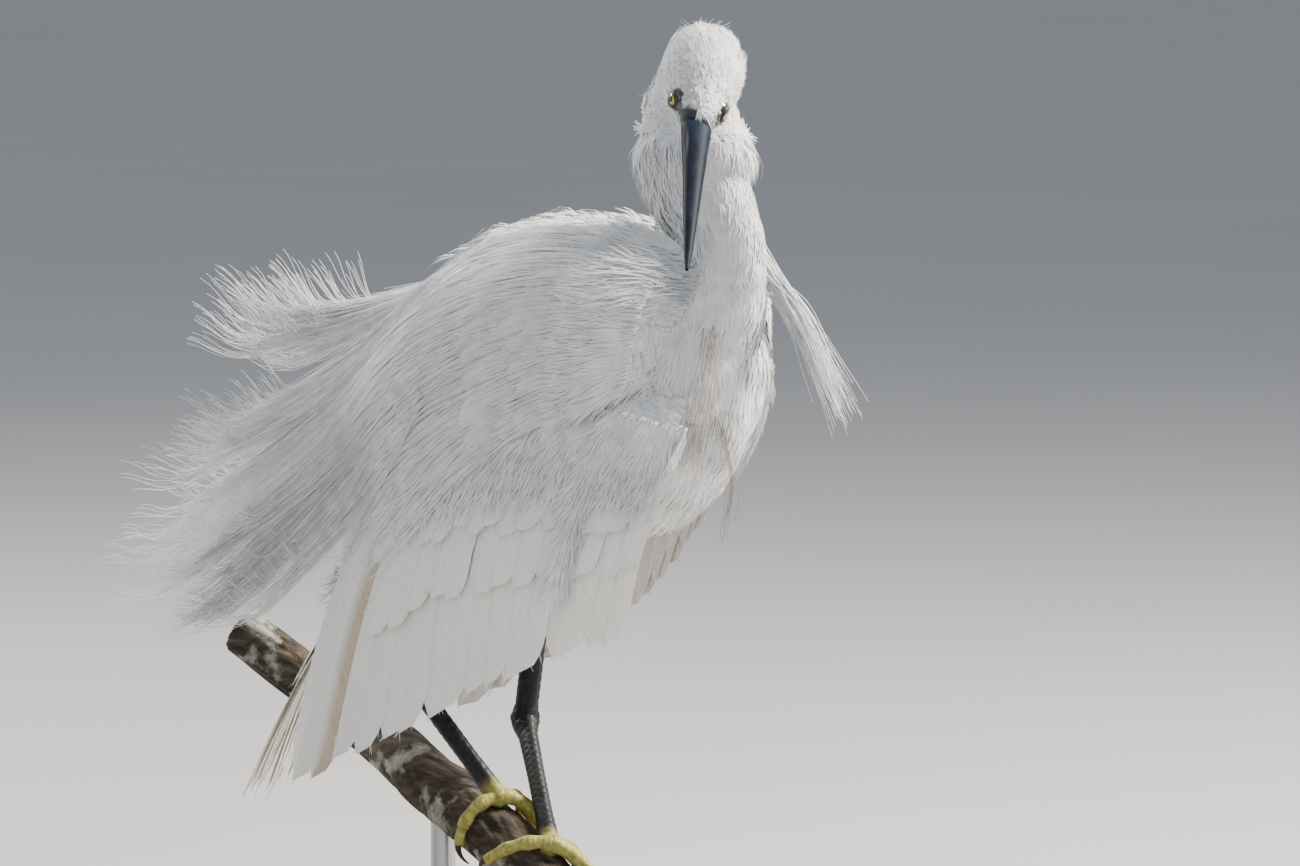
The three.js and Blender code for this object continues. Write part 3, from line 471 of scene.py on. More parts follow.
# Forms of flesh: x, y, z and the two half widths
TORSO = [
    (47, 0, 10, 2, 2), (43, 0, 11, 17, 20), (34, 0, 14, 31, 39), (18, 0, 17, 43, 53), (-8, 0, 18, 50, 59),
    (-40, 0, 14, 52, 63), (-72, 0, 4, 50, 61), (-103, 0, -14, 45, 54), (-130, 0, -38, 31, 36),
    (-150, 0, -59, 19, 22), (-162, 0, -72, 10, 12), (-167, 0, -77, 3, 3),
]
NECK = [
    (20, 0, 34, 26, 30), (32, 0, 54, 23, 27), (37.5, 0, 72.6, 18.5, 22), (34, 0, 86.4, 18, 20.5),
    (28, 0, 95.6, 20, 23), (23.7, 0, 111, 21.5, 25), (21.8, -1, 126, 18, 20), (22, -1, 140, 12, 13),
]
HEAD = [
    (-26, 0, 0, 2, 2), (-24, 0, 0.5, 8, 8.5), (-17, 0, 0.5, 13.5, 14), (-7, 0, 0.3, 16, 16.5),
    (4, 0, 0, 15.3, 15.2), (14, 0, -0.4, 11.8, 11.6), (22, 0, -0.8, 8.6, 9.2), (28.5, 0, -1, 6.4, 7.4),
]
THIGHS = [
    [(-72, 24, -40, 17, 24), (-80, 25, -62, 13, 17), (-88, 25, -80, 8.5, 10), (-92, 25, -92, 5.6, 6.2)],
    [(-92, -20, -36, 17, 22), (-103, -23, -54, 12, 15), (-111, -24, -66, 8, 9), (-116, -24, -74, 5.6, 6.2)],
]
# How far the skin's forms are drawn in from the solids, for the coat to stand on
BODY_DEPTH = 3.0
THIGH_DEPTH = BODY_DEPTH * 0.6
HEAD_DEPTH = 1.0
FORM_STATIONS, FORM_SIDES = 60, 40
THINNEST = 0.6
SKIN_CELL = 0.0021
SKIN_STEPS = 12
SKIN_SMOOTHING = 0.5
UNWRAP_ANGLE = 66
UNWRAP_MARGIN = 0.004


def traced(rows, t):
    """Centres and the two half widths at t along a form's rows."""
    rows = np.array(rows, float)
    return spline(rows[:, :3], t), spline(rows[:, 3:], t)


def form(rows, depth, head=False):
    centres, halves = traced(rows, np.linspace(0, 1, FORM_STATIONS))
    points = rings(centres, np.maximum(halves - depth, THINNEST), (0, 1, 0), FORM_SIDES)
    return tube(on_head(points) if head else points)


skin_forms = [form(TORSO, BODY_DEPTH), form(NECK, BODY_DEPTH), form(HEAD, HEAD_DEPTH, True)]
skin_forms += [form(rows, THIGH_DEPTH) for rows in THIGHS]


def make_skin():
    """One closed skin over all the flesh, with an unwrap of its own."""
    points, faces = join_tubes(skin_forms)
    rough = make("skin_rough", points, faces, [], down)
    remesh = rough.modifiers.new("remesh", "REMESH")
    remesh.mode = "VOXEL"
    remesh.voxel_size = SKIN_CELL
    smooth = rough.modifiers.new("smooth", "SMOOTH")
    smooth.factor = SKIN_SMOOTHING
    smooth.iterations = SKIN_STEPS
    ready = bpy.data.meshes.new_from_object(rough.evaluated_get(bpy.context.evaluated_depsgraph_get()))
    bpy.data.objects.remove(rough)
    skin = bpy.data.objects.new("skin", ready)
    bpy.context.scene.collection.objects.link(skin)
    bpy.context.view_layer.objects.active = skin
    skin.select_set(True)
    bpy.ops.object.mode_set(mode="EDIT")
    bpy.ops.mesh.select_all(action="SELECT")
    bpy.ops.uv.smart_project(angle_limit=math.radians(UNWRAP_ANGLE), island_margin=UNWRAP_MARGIN)
    bpy.ops.object.mode_set(mode="OBJECT")
    skin.select_set(False)
    ready.uv_layers.active.name = "OFBake"
    ready.shade_smooth()
    return skin


skin = make_skin()
skin_mesh = skin.data
skin_points = np.empty(len(skin_mesh.vertices) * 3, np.float32)
skin_mesh.vertices.foreach_get("co", skin_points)
skin_points = skin_points.reshape(-1, 3) / MM - ORIGIN


def face_data(kind, width):
    values = np.empty(len(skin_mesh.polygons) * width, np.float32)
    skin_mesh.polygons.foreach_get(kind, values)
    return values.reshape(-1, width)


face_centre = face_data("center", 3) / MM - ORIGIN
face_normal = face_data("normal", 3)
face_start = np.empty(len(skin_mesh.polygons), np.int32)
skin_mesh.polygons.foreach_get("loop_start", face_start)
loop_uv = np.empty(len(skin_mesh.loops) * 2, np.float32)
skin_mesh.uv_layers["OFBake"].data.foreach_get("uv", loop_uv)
loop_uv = loop_uv.reshape(-1, 2)
face_uv = (loop_uv[face_start] + loop_uv[face_start + 2]) / 2

face_tree = kdtree.KDTree(len(face_centre))
for index, centre in enumerate(face_centre):
    face_tree.insert(centre, index)
face_tree.balance()


def skin_uv(points):
    """The unwrap's place of the skin nearest to each point."""
    found = [face_tree.find(point)[1] for point in np.asarray(points).reshape(-1, 3)]
    return face_uv[found]


# The bare lores run from the bill to the eye, and a narrow bare ring goes round each eye
LORES_START = (17, 19)
LORES_HALF = (2.2, 4.4)
LORES_ABOVE_MOUTH = 0.9
FOREHEAD_END = 27.2
FOREHEAD_POINT = 4.5
FOREHEAD_HALF = 5.5
EYE_RING = (4.9, 4.5)


def bareness(points):
    x, y, z = from_head(points).T
    wide = mix(*LORES_HALF, ease(18, 28, x))
    lores = ease(*LORES_START, x) * ease(0.6, -0.6, np.abs(z - MOUTH - LORES_ABOVE_MOUTH) - wide)
    forehead = FOREHEAD_END - FOREHEAD_POINT * np.clip(np.abs(y) / FOREHEAD_HALF, 0, 1)
    lores = np.maximum(lores, ease(-0.7, 0.5, x - forehead) * (z > MOUTH))
    eyes = on_head([[EYE_PLACE[0], side * EYE_PLACE[1], EYE_PLACE[2]] for side in (1, -1)])
    near = np.min(np.linalg.norm(points[:, None] - eyes[None], axis=-1), axis=1)
    return np.clip(lores + ease(*EYE_RING, near), 0, 1)


bare_mark = skin_mesh.attributes.new("bare", "FLOAT", "POINT")
bare_mark.data.foreach_set("value", bareness(skin_points).astype(np.float32))
bill_mark = skin_mesh.attributes.new("near_bill", "FLOAT", "POINT")
bill_mark.data.foreach_set("value", ease(20, 27, from_head(skin_points)[:, 0]).astype(np.float32))
skin_mesh.materials.clear()
skin_mesh.materials.append(skin_finish())
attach(skin, "root")
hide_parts("torso", "neck", "head", "thigh_left", "thigh_right")

# The coat's lie. Each place belongs to the head, the neck, a thigh or the torso.
neck_line = spline(np.array(NECK)[:, :3], np.linspace(0, 1, 60))
neck_ahead = unit(np.gradient(neck_line, axis=0))
thigh_lines = [spline(np.array(rows)[:, :3], np.linspace(0.2, 1, 20)) for rows in THIGHS]


def nearest(points, line):
    far = np.linalg.norm(points[:, None] - line[None], axis=-1)
    return far.argmin(1), far.min(1)


def regions(points):
    head = ease(30, 25, np.linalg.norm(points - HEAD_CENTRE - HEAD_TURN @ np.array([-2.0, 0, 0]), axis=1))
    neck = ease(44, 62, points[:, 2]) * (1 - head) * ease(0, 12, points[:, 0])
    thigh = np.zeros(len(points))
    for line in thigh_lines:
        thigh = np.maximum(thigh, ease(30, 22, nearest(points, line)[1]) * ease(-44, -56, points[:, 2]))
    return head, neck, thigh


def lie(points, normals):
    head, neck, thigh = regions(points)
    nearest_ring, _ = nearest(points, neck_line)
    front = ease(-10, 40, points[:, 0])[:, None]
    torso_way = unit(mix(np.array([-1, 0, -0.42]), np.array([-0.3, 0, -1.0]), front))
    way = torso_way * (1 - head - neck - thigh)[:, None].clip(0)
    way = way - neck_ahead[nearest_ring] * neck[:, None]
    way = way + (HEAD_TURN @ np.array([-1.0, 0, -0.3])) * head[:, None]
    way = way + np.array([-0.25, 0, -1.0]) * thigh[:, None]
    return unit(squared(way, normals))


# Tufts. Each has a patch of the map this wide, at its root's place.
PATCH = 0.003
STRANDS = 6
STRAND_STATIONS = 4


def ribbons(lines, half, side, uv, name, nodes=(), material=down, sides=2):
    """Thin tapered strips or three-sided threads along lines of points."""
    count, stations = lines.shape[:2]
    ahead = unit(np.gradient(lines, axis=1))
    side = unit(squared(side, ahead))
    if sides == 2:
        points = np.stack([lines - side * half[..., None], lines + side * half[..., None]], 2)
    else:
        up = np.cross(ahead, side)
        turns = [2 * math.pi * k / sides for k in range(sides)]
        points = np.stack([
            lines + (side * math.cos(a) + up * math.sin(a)) * half[..., None] for a in turns
        ], 2)
    columns = points.shape[2]
    local = np.stack(np.broadcast_arrays(
        np.linspace(0, PATCH, stations)[:, None],
        np.linspace(0, PATCH, columns)[None, :],
    ), -1)
    maps = uv[:, None, None, :] + local[None]
    faces = grid_faces(count, stations, columns, sides > 2)
    make(name, points, [faces], nodes, material, uv=maps)


def tufts(name, roots, normals, way, length, spread, lift, half, bend_radius, uv, seed):
    """Tufts of strands that fan out a little from each root and lie along the skin."""
    rng = np.random.default_rng(seed)
    count = len(roots)
    size = (count, STRANDS)
    spread, lift, half, bend_radius = (
        np.broadcast_to(value, count)[:, None] for value in (spread, lift, half, bend_radius)
    )
    side = np.cross(normals, way)
    t = np.linspace(0, 1, STRAND_STATIONS)
    place = np.linspace(-1, 1, STRANDS)
    fan = (place * spread + rng.normal(0, 0.09, size))[..., None]
    ahead = way[:, None] * np.cos(fan) + side[:, None] * np.sin(fan)
    reach = length[:, None] * (1 - 0.22 * place ** 2) * rng.uniform(0.7, 1.1, size)
    stand = rng.uniform(0.0, 0.25, (count, 1)) + rng.uniform(0, 0.3, size)
    rise = lift * rng.uniform(0.6, 1.4, size)
    fall = reach / (2 * bend_radius) * 0.9
    rising = rise[..., None] * (t - 0.75 * t ** 2) - fall[..., None] * t ** 2
    height = stand[..., None] + reach[..., None] * rising
    offset = side[:, None] * (place * 0.28)[:, None] * (length[:, None] * spread)[..., None]
    curl = rng.normal(0, 0.06, size)
    lines = (
        roots[:, None, None] + offset[:, :, None]
        + ahead[:, :, None] * (reach[..., None] * t)[..., None]
        + side[:, None, None] * (curl[..., None] * reach[..., None] * t ** 2)[..., None]
        + normals[:, None, None] * height[..., None]
    ).reshape(-1, STRAND_STATIONS, 3)
    taper = 1 - 0.86 * t ** 1.6
    wide = ((half * rng.uniform(0.75, 1.25, size))[..., None] * taper).reshape(-1, STRAND_STATIONS)
    sides = np.broadcast_to(np.repeat(side, STRANDS, axis=0)[:, None], lines.shape)
    ribbons(lines, wide, sides, np.repeat(uv, STRANDS, axis=0), name)


# Sides where the feathers stand out in the photograph's view, to its left and to its right
RUFFLED_SIDE = unit(np.array([-0.8, -0.55, 0.0]))
CHEEK_SIDE = unit(np.array([0.7, 0.7, -0.1]))
NAPE_SIDE = unit(np.array([-0.67, 0.74, 0.0]))


# Tufts of the head, neck, thighs and torso: length, lift, half width and the radius that they bend round
REGION_TUFTS = np.array([
    (5.4, 0.04, 0.13, 15), (9.5, 0.12, 0.25, 24), (12, 0.2, 0.4, 16), (15, 0.12, 0.62, 62),
])
COAT_SPREAD = 0.24


def coat():
    """Tufts over all the skin, in pieces, with more and finer ones on the head and the neck."""
    centre_head, centre_neck, _ = regions(face_centre)
    x = face_centre[:, 0]
    body = (centre_head <= 0.5) & (centre_neck <= 0.4)
    groups = [
        ("coat_head", centre_head > 0.5, 5200),
        ("coat_neck", (centre_head <= 0.5) & (centre_neck > 0.4), 4700),
        ("coat_breast", body & (x > -14), 3600),
        ("coat_flank", body & (x <= -14) & (x > -72), 1800),
        ("coat_rump", body & (x <= -72), 2800),
    ]
    for seed, (name, chosen, count) in enumerate(groups, 20):
        rng = np.random.default_rng(seed)
        picked = np.resize(rng.permutation(np.flatnonzero(chosen)), count)
        centre, normal = face_centre[picked], face_normal[picked]
        way = lie(centre, normal)
        jitter = rng.normal(0, 1.0, (count, 2))
        roots = centre + way * jitter[:, :1] + np.cross(normal, way) * jitter[:, 1:]
        head, neck, thigh = regions(roots)
        torso = (1 - head - neck - thigh).clip(0, 1)
        chance = rng.uniform(0, 1, count)
        z = roots[:, 2]
        ruffled = normal @ RUFFLED_SIDE
        ruffle = neck * ease(0.0, 0.7, ruffled) * chance ** 1.5 * ease(126, 114, z)
        cheek = head * ease(0.3, 0.9, ruffled) * ease(146, 138, z) * chance ** 2 * 0.6
        jowl = (head + neck) * ease(0.2, 0.8, normal @ CHEEK_SIDE) * ease(104, 112, z) * chance ** 2
        crest = 0.4 * head * ease(0.8, 0.97, normal[:, 2]) * chance ** 6
        nape = (head + neck) * ease(0.1, 0.8, normal @ NAPE_SIDE) * ease(100, 114, z) * ease(160, 150, z)
        loose = ruffle + cheek + jowl + crest
        face = head * ease(-2, 16, from_head(roots)[:, 0])
        length, lift, half, radius = (np.stack([head, neck, thigh, torso], -1) @ REGION_TUFTS).T
        length = length + 3 * torso * ease(-30, -60, centre[:, 0]) + 4.5 * loose + 6 * nape
        length = length * rng.uniform(0.75, 1.2, count) * (1 - 0.5 * face)
        lift = lift + 0.8 * ruffle + 0.6 * (cheek + jowl + crest) + 0.5 * nape * chance
        half = half + 0.03 * ruffle
        radius = radius + 60 * loose
        keep = np.flatnonzero(bareness(roots) < 0.3)
        tufts(name, roots[keep], normal[keep], way[keep], length[keep], COAT_SPREAD, lift[keep],
              half[keep], radius[keep], face_uv[picked[keep]], seed)


coat()


def mantle(count):
    """Loose feathers heaped between the wings, which make the ruffled line of the back."""
    rng = np.random.default_rng(31)
    x, y, z = face_centre.T
    spots = np.flatnonzero((face_normal[:, 2] > 0.25) & (x > -104) & (x < 12) & (z > 22) & (np.abs(y) < 42))
    picked = rng.choice(spots, count)
    centre, normal = face_centre[picked], face_normal[picked]
    heap = 8.5 * ease(14, -6, centre[:, 0]) * ease(-112, -70, centre[:, 0])
    heap *= ease(44, 22, np.abs(centre[:, 1]))
    depth = heap * rng.uniform(0, 1, count) ** 0.7
    roots = centre + normal * depth[:, None] + rng.normal(0, 0.8, (count, 3))
    loose = rng.uniform(0, 1, count) ** 4
    length = rng.uniform(12, 19, count) + 3 * loose
    tufts("coat_mantle", roots, normal, lie(centre, normal), length, 0.28, 0.12 + 0.45 * loose, 0.42,
          70.0, face_uv[picked], 32)


mantle(2800)

# Wings: lines of points from the front to the back of each, as the solids have them
WING_LINES = {
    -1: [
        [(46, -26, 6), (22, -45, 14), (-10, -54, 22), (-38, -55, 24), (-64, -54, 22)],
        [(37, -41, -34), (6, -54, -34), (-34, -61, -40), (-72, -62, -50), (-112, -60, -62)],
        [(16, -34, -74), (-14, -48, -86), (-51, -53, -103), (-100, -55, -125), (-155, -50, -148)],
    ],
    1: [
        [(16, 45, 26), (0, 51, 26), (-20, 56, 26), (-44, 57, 26), (-68, 56, 22)],
        [(2, 51, 0), (-18, 57, -8), (-48, 62, -22), (-80, 63, -38), (-118, 60, -52)],
        [(-8, 49, -20), (-36, 55, -46), (-68, 57, -74), (-110, 54, -98), (-162, 45, -124)],
    ],
}
CAPE_LINES = {
    -1: [
        [(34, -18, 70), (6, -24, 76), (-36, -26, 76), (-78, -26, 61), (-118, -24, 36)],
        [(34, -36, 54), (8, -51, 57), (-34, -58, 48), (-76, -58, 28), (-112, -52, 0)],
        [(29, -43, 20), (4, -57, 8), (-28, -64, -12), (-56, -65, -36), (-84, -62, -60)],
    ],
    1: [
        [(16, 16, 76), (-6, 24, 77), (-40, 26, 76), (-80, 26, 61), (-118, 24, 36)],
        [(14, 43, 60), (-6, 53, 58), (-40, 60, 48), (-78, 61, 28), (-112, 55, 0)],
        [(8, 53, 20), (-12, 60, 8), (-40, 65, -12), (-66, 67, -34), (-94, 63, -58)],
    ],
}
# Points across a vane, shares of its half width
COLUMNS = np.array([-1, -0.72, -0.4, -0.09, 0, 0.09, 0.4, 0.72, 1.0])
EDGE_COLUMNS = [0, 1, 7, 8]
VANE_ROWS = 18
CAMBER = 0.2
# Vanes across the map, and loose barbs at the edges of each vane
ATLAS = 32
FRINGE = 44
FRINGE_STATIONS = 4


class Feathers:
    """Vanes laid on a sheet in rows, gathered into one mesh."""

    def __init__(self):
        self.points, self.uv, self.along, self.aside, self.painted_shade = [], [], [], [], []
        self.faces, self.vertices, self.feathers = [], 0, 0
        self.edges = []

    def lay(self, sheet, start, end, half, rise, lean, seed, ragged=0.12, round_from=0.62, painted_shade=0.0):
        rng = np.random.default_rng(seed)
        count = len(start)
        t = np.linspace(0, 1, VANE_ROWS) ** 0.85
        u = mix(start[:, :1], end[:, :1], t[None])
        v = mix(start[:, 1:], end[:, 1:], t[None])
        up = sheet.normal(u, v)
        height = mix(rise[0], rise[1], t)[None] + rng.uniform(-0.15, 0.15, (count, 1))
        line = sheet.at(u, v) + up * height[..., None]
        ahead = unit(np.gradient(line, axis=1))
        side = unit(np.cross(up, ahead)) * lean[0]
        line = line + side * (rng.normal(0, 1.0, (count, 1)) * t[None] ** 2)[..., None]
        tip = np.clip((t - round_from) / (1 - round_from), 0, 1)
        profile = mix(0.5, 1, ease(0, 0.3, t)) * np.sqrt(np.clip(1 - tip ** 2.2, 0.0025, 1))
        edge = 1 - ragged * rng.uniform(0, 1, (count, VANE_ROWS, 2)) ** 2 * (0.3 + tip[None, :, None])
        wide = half[:, None] * profile[None]
        x = COLUMNS[None, None] * wide[..., None]
        x[..., 0] *= edge[..., 0]
        x[..., -1] *= edge[..., 1]
        x = x * np.where(COLUMNS < 0, 0.8, 1.2)
        shaft = np.where(np.abs(COLUMNS) < 0.05, 0.28, 0.0)[None, None] * (1 - 0.6 * t)[None, :, None]
        lifted = lean[1] * x - CAMBER * x ** 2 / half[:, None, None] + shaft
        ripple = np.sin(9 * t[None, :, None] + rng.uniform(0, 6, (count, 1, 1)))
        lifted += 0.25 * ripple * COLUMNS[None, None] ** 2
        points = line[:, :, None] + side[:, :, None] * x[..., None] + up[:, :, None] * lifted[..., None]
        number = self.feathers + np.arange(count)
        cell = np.stack([number % ATLAS, number // ATLAS], -1) / ATLAS
        local = np.stack(np.broadcast_arrays(
            0.05 + 0.9 * (COLUMNS[None] + 1) / 2, 0.05 + 0.9 * t[:, None]), -1) / ATLAS
        length = np.linalg.norm(line[:, -1] - line[:, 0], axis=1)
        far = length[:, None] * t[None] + number[:, None] * 37.3
        # The mark paints tan shade on one side of a vane, from the shaft outward.
        marked = np.broadcast_to(painted_shade, count)[:, None] * ease(-0.2, 0.5, COLUMNS)
        self.points.append(points.reshape(-1, 3))
        self.uv.append((cell[:, None, None] + local[None]).reshape(-1, 2))
        self.along.append(np.broadcast_to(far[..., None], x.shape).ravel())
        self.aside.append(x.ravel())
        self.painted_shade.append(np.broadcast_to(marked[:, None], x.shape).ravel())
        self.faces.append(grid_faces(count, VANE_ROWS, len(COLUMNS)) + self.vertices)
        self.vertices += count * VANE_ROWS * len(COLUMNS)
        self.feathers += count
        pick = np.arange(count)
        for _ in range(FRINGE):
            row = rng.integers(int(VANE_ROWS * 0.45), VANE_ROWS, count)
            at_tip, at_edge = rng.integers(0, len(COLUMNS), count), rng.choice(EDGE_COLUMNS, count)
            column = np.where(row > VANE_ROWS - 3, at_tip, at_edge)
            outward = side[pick, row] * np.sign(COLUMNS[column])[:, None]
            self.edges.append((points[pick, row, column], ahead[pick, row], outward, up[pick, row]))

    def fringe(self, name, seed):
        """Loose barbs that run on past the edges of the vanes."""
        rng = np.random.default_rng(seed)
        root, ahead, aside, up = (np.concatenate(part) for part in zip(*self.edges))
        count = len(root)
        out, over = rng.uniform(0.0, 0.7, (count, 1)), rng.uniform(-0.05, 0.22, (count, 1))
        way = unit(ahead + aside * out + up * over)
        reach = rng.uniform(1.5, 5.0, count)
        t = np.linspace(0, 1, FRINGE_STATIONS)
        lines = root[:, None] + way[:, None] * (reach[:, None] * (t - 0.25))[..., None]
        lines = lines + aside[:, None] * (reach[:, None] * 0.15 * t ** 2)[..., None]
        half = np.broadcast_to(mix(0.17, 0.05, t), (count, FRINGE_STATIONS))
        ribbons(lines, half, np.broadcast_to(aside[:, None], lines.shape), skin_uv(root), name)

    def done(self, name, nodes):
        marks = {key: np.concatenate(getattr(self, key)) for key in ("along", "aside", "painted_shade")}
        points, faces = np.concatenate(self.points), [np.concatenate(self.faces)]
        make(name, points, faces, nodes, vanes, uv=np.concatenate(self.uv), marks=marks)


def row_of(sheet, count, along, span, cross, seed, jitter):
    """Starts and ends of a row of feathers side by side, and their spacing near the tips."""
    rng = np.random.default_rng(seed)
    pitch = (span[1] - span[0]) / count
    place = span[0] + pitch * (np.arange(count) + 0.5) + pitch * rng.uniform(-0.15, 0.15, count)
    reach = cross[1] + jitter * rng.uniform(-1, 1, count)
    begin = cross[0] + jitter * rng.uniform(-1, 1, count)
    far = place + pitch * rng.uniform(-0.12, 0.12, count)
    start, end = np.stack([place, begin], -1), np.stack([far, reach], -1)
    a, b = np.stack([place - pitch / 2, 0.8 * reach], -1), np.stack([place + pitch / 2, 0.8 * reach], -1)
    if along == "v":
        start, end, a, b = start[:, ::-1], end[:, ::-1], a[:, ::-1], b[:, ::-1]
    gap = np.linalg.norm(sheet.at(a[:, 0], a[:, 1]) - sheet.at(b[:, 0], b[:, 1]), axis=1)
    return start, end, gap


# Rows from the longest quills to the small coverts: count, span, reach, width, height and unevenness
WING_ROWS = [
    (16, (0, 1.0), (0.2, 1.0), 0.68, (-0.6, 0.8), 0.016),
    (13, (0.0, 0.82), (0.12, 0.67), 0.70, (0.8, 3.0), 0.022),
    (13, (0.0, 0.7), (0.05, 0.47), 0.74, (1.6, 4.4), 0.03),
    (15, (0.0, 0.64), (0.0, 0.34), 0.82, (2.0, 5.2), 0.035),
    (17, (0.0, 0.6), (-0.02, 0.22), 0.9, (2.0, 5.2), 0.04),
]
# Scapulars: long ones to the rear first, then shorter ones forward over them
CAPE_ROWS = [
    (9, (0.02, 1.0), (0.5, 1.04), 0.8, (0.3, 1.6), 0.05),
    (9, (0.02, 1.0), (0.36, 0.88), 0.8, (0.6, 2.4), 0.05),
    (10, (0.02, 0.98), (0.24, 0.7), 0.85, (0.9, 3.0), 0.05),
    (11, (0.02, 0.98), (0.13, 0.54), 0.9, (1.1, 3.6), 0.04),
    (12, (0.02, 0.98), (0.05, 0.39), 0.95, (1.2, 3.8), 0.04),
    (14, (0.02, 0.98), (0.0, 0.26), 1.0, (1.0, 3.6), 0.03),
]
SHINGLE = 0.17


def wing(side, name):
    feathers = Feathers()
    sheet = Sheet(WING_LINES[side], (0, side, 0))
    cape = Sheet(CAPE_LINES[side], (0, side, 0.3))
    seed = 100 if side < 0 else 200
    for k, (count, span, cross, breadth, rise, jitter) in enumerate(WING_ROWS):
        start, end, gap = row_of(sheet, count, "u", span, cross, seed + k, jitter)
        # One long quill of the right wing gets painted tan shade on one side, for its inner surface in
        # shadow.
        painted_shade = np.zeros(count)
        if k == 0 and side < 0:
            painted_shade[-2] = 0.9
        feathers.lay(sheet, start, end, gap * breadth, rise, (-side, SHINGLE), seed + 20 + k,
                     ragged=0.05, round_from=0.8, painted_shade=painted_shade)
    for k, (count, span, cross, breadth, rise, jitter) in enumerate(CAPE_ROWS):
        start, end, gap = row_of(cape, count, "v", span, cross, seed + 40 + k, jitter)
        feathers.lay(cape, start, end, gap * breadth, rise, (side, SHINGLE), seed + 60 + k,
                     ragged=0.3, round_from=0.45)
    feathers.done(f"{name}_vanes", [name])
    feathers.fringe(f"{name}_fringe", seed + 80)
    return sheet, cape


wing_right, cape_right = wing(-1, "wing_right")
wing_left, cape_left = wing(1, "wing_left")

# Tail: two rows, by their reach along it, height, unevenness and seed
TAIL_LINES = [
    [(-146, -20, -70), (-152, -4, -66), (-156, 12, -70)],
    [(-166, -30, -106), (-172, -10, -100), (-177, 10, -104)],
    [(-184, -42, -150), (-192, -18, -153), (-200, 4, -148)],
]
TAIL_ROWS = [((-0.1, 1.0), (0, 0.3), 0.02, 301), ((-0.3, 0.5), (0.8, 2.0), 0.04, 303)]
TAIL_FEATHERS = 12
tail_sheet = Sheet(TAIL_LINES, (-1, 0, 0.5))
tail = Feathers()
for cross, rise, jitter, seed in TAIL_ROWS:
    start, end, gap = row_of(tail_sheet, TAIL_FEATHERS, "u", (0, 1), cross, seed, jitter)
    tail.lay(tail_sheet, start, end, gap * 1.2, rise, (-1, 0.1), seed + 1)
tail.done("tail_vanes", ["tail"])
tail.fringe("tail_fringe", 305)


# Plumes of the back. Bunches run from roots through places to tips, and gather in locks.
def bunch(rng, count, lines, locks, curl):
    """Paths for single plumes, each a row of places from its root to its tip."""
    centre = rng.uniform(0, 1, locks)
    lock = rng.integers(0, locks, count)
    spots = []
    for k, line in enumerate(lines):
        last = k == len(lines) - 1
        own = rng.normal(0, 0.11 if k == 0 else 0.05, count)
        share = centre[lock] + (own * 0.32 if last else own)
        share = share + (rng.normal(0, 0.02, locks)[lock] if last else 0)
        spots.append(spline(line, np.clip(share, 0, 1)))
    far = spots[-2]
    shorter = rng.uniform(0.86, 1.06, locks)[lock] * (1 - 0.55 * rng.uniform(0, 1, count) ** 2)
    tip = mix(far, spots[-1], shorter[:, None]) + rng.normal(0, 1.6, (count, 3))
    spots[-1] = tip
    spots.insert(len(spots) - 1, mix(far, tip, 0.7) + np.array([0, 0, -curl]))
    leans, sways = rng.normal(-0.3, 0.2, locks), rng.normal(0, 0.25, locks)
    turn = unit(np.stack([leans, sways, np.ones(locks)], -1))
    return np.stack(spots), turn[lock]


def drawn(paths, stations):
    """Places along each path."""
    count = paths.shape[1]
    t = np.linspace(0, 1, stations)
    return np.stack([spline(paths, np.full(count, value)) for value in t], 1)


def curled(lines, turn, amount):
    """Bends the last part of each line up and over."""
    t = np.linspace(0, 1, lines.shape[1])
    ahead = unit(lines[:, -1] - lines[:, -4])
    last = ease(0.68, 1.04, t)[None] ** 1.3
    lift = turn[:, None] * (amount[:, None] * last)[..., None]
    return lines + lift - ahead[:, None] * (amount[:, None] * last ** 2 * 0.2)[..., None]


def above_cape(cape, places, height):
    places = np.array(places, float)
    return cape.at(places[:, 0], places[:, 1]) + cape.normal(places[:, 0], places[:, 1]) * height


CAPE_PLUME_HEIGHT = 4.5
SIDE_ROOTS = [(0.66, 0.0), (0.5, 0.12), (0.42, 0.34), (0.44, 0.6)]
SIDE_OVER = [(0.84, 0.0), (0.72, 0.16), (0.66, 0.42), (0.64, 0.7)]
RIGHT_THROUGH = [(1.06, 0.04), (1.04, 0.32), (0.98, 0.58), (0.9, 0.8)]
LEFT_THROUGH = [(1.06, 0.04), (1.02, 0.34), (0.94, 0.56)]
RIGHT_TIPS = [
    (-214, -38, -4), (-240, -48, -34), (-258, -44, -66),
    (-242, -58, -78), (-226, -54, -99), (-178, -64, -91),
]
LEFT_TIPS = [(-186, 30, 28), (-212, 44, 0), (-204, 56, -34), (-170, 64, -56)]
PLUMES = [
    dict(count=150, locks=13, curl=8, size=19, lines=[
        [(-28, -3, 78), (-66, -4, 70)],
        [(-76, 4, 72), (-84, -4, 69), (-90, -12, 63)],
        [(-116, 2, 53), (-121, -8, 48), (-124, -17, 41)],
        [(-206, -8, 44), (-230, -10, 38), (-244, -10, 28), (-236, -14, 14), (-208, -16, -2)],
    ]),
    dict(count=400, locks=23, curl=6, size=16, lines=[
        above_cape(cape_right, SIDE_ROOTS, 1.0), above_cape(cape_right, SIDE_OVER, CAPE_PLUME_HEIGHT),
        above_cape(cape_right, RIGHT_THROUGH, CAPE_PLUME_HEIGHT), RIGHT_TIPS,
    ]),
    dict(count=170, locks=13, curl=5, size=13, lines=[
        above_cape(cape_left, SIDE_ROOTS, 1.0), above_cape(cape_left, SIDE_OVER, CAPE_PLUME_HEIGHT),
        above_cape(cape_left, LEFT_THROUGH, CAPE_PLUME_HEIGHT), LEFT_TIPS,
    ]),
]
SHAFT_STATIONS = 26
BARBS = 3
BARB_STATIONS = 10
SHAFT_HALF = (0.32, 0.10)
BARB_HALF = (0.17, 0.08)
UPWARD = np.array([0.2, 0.3, 1.0])


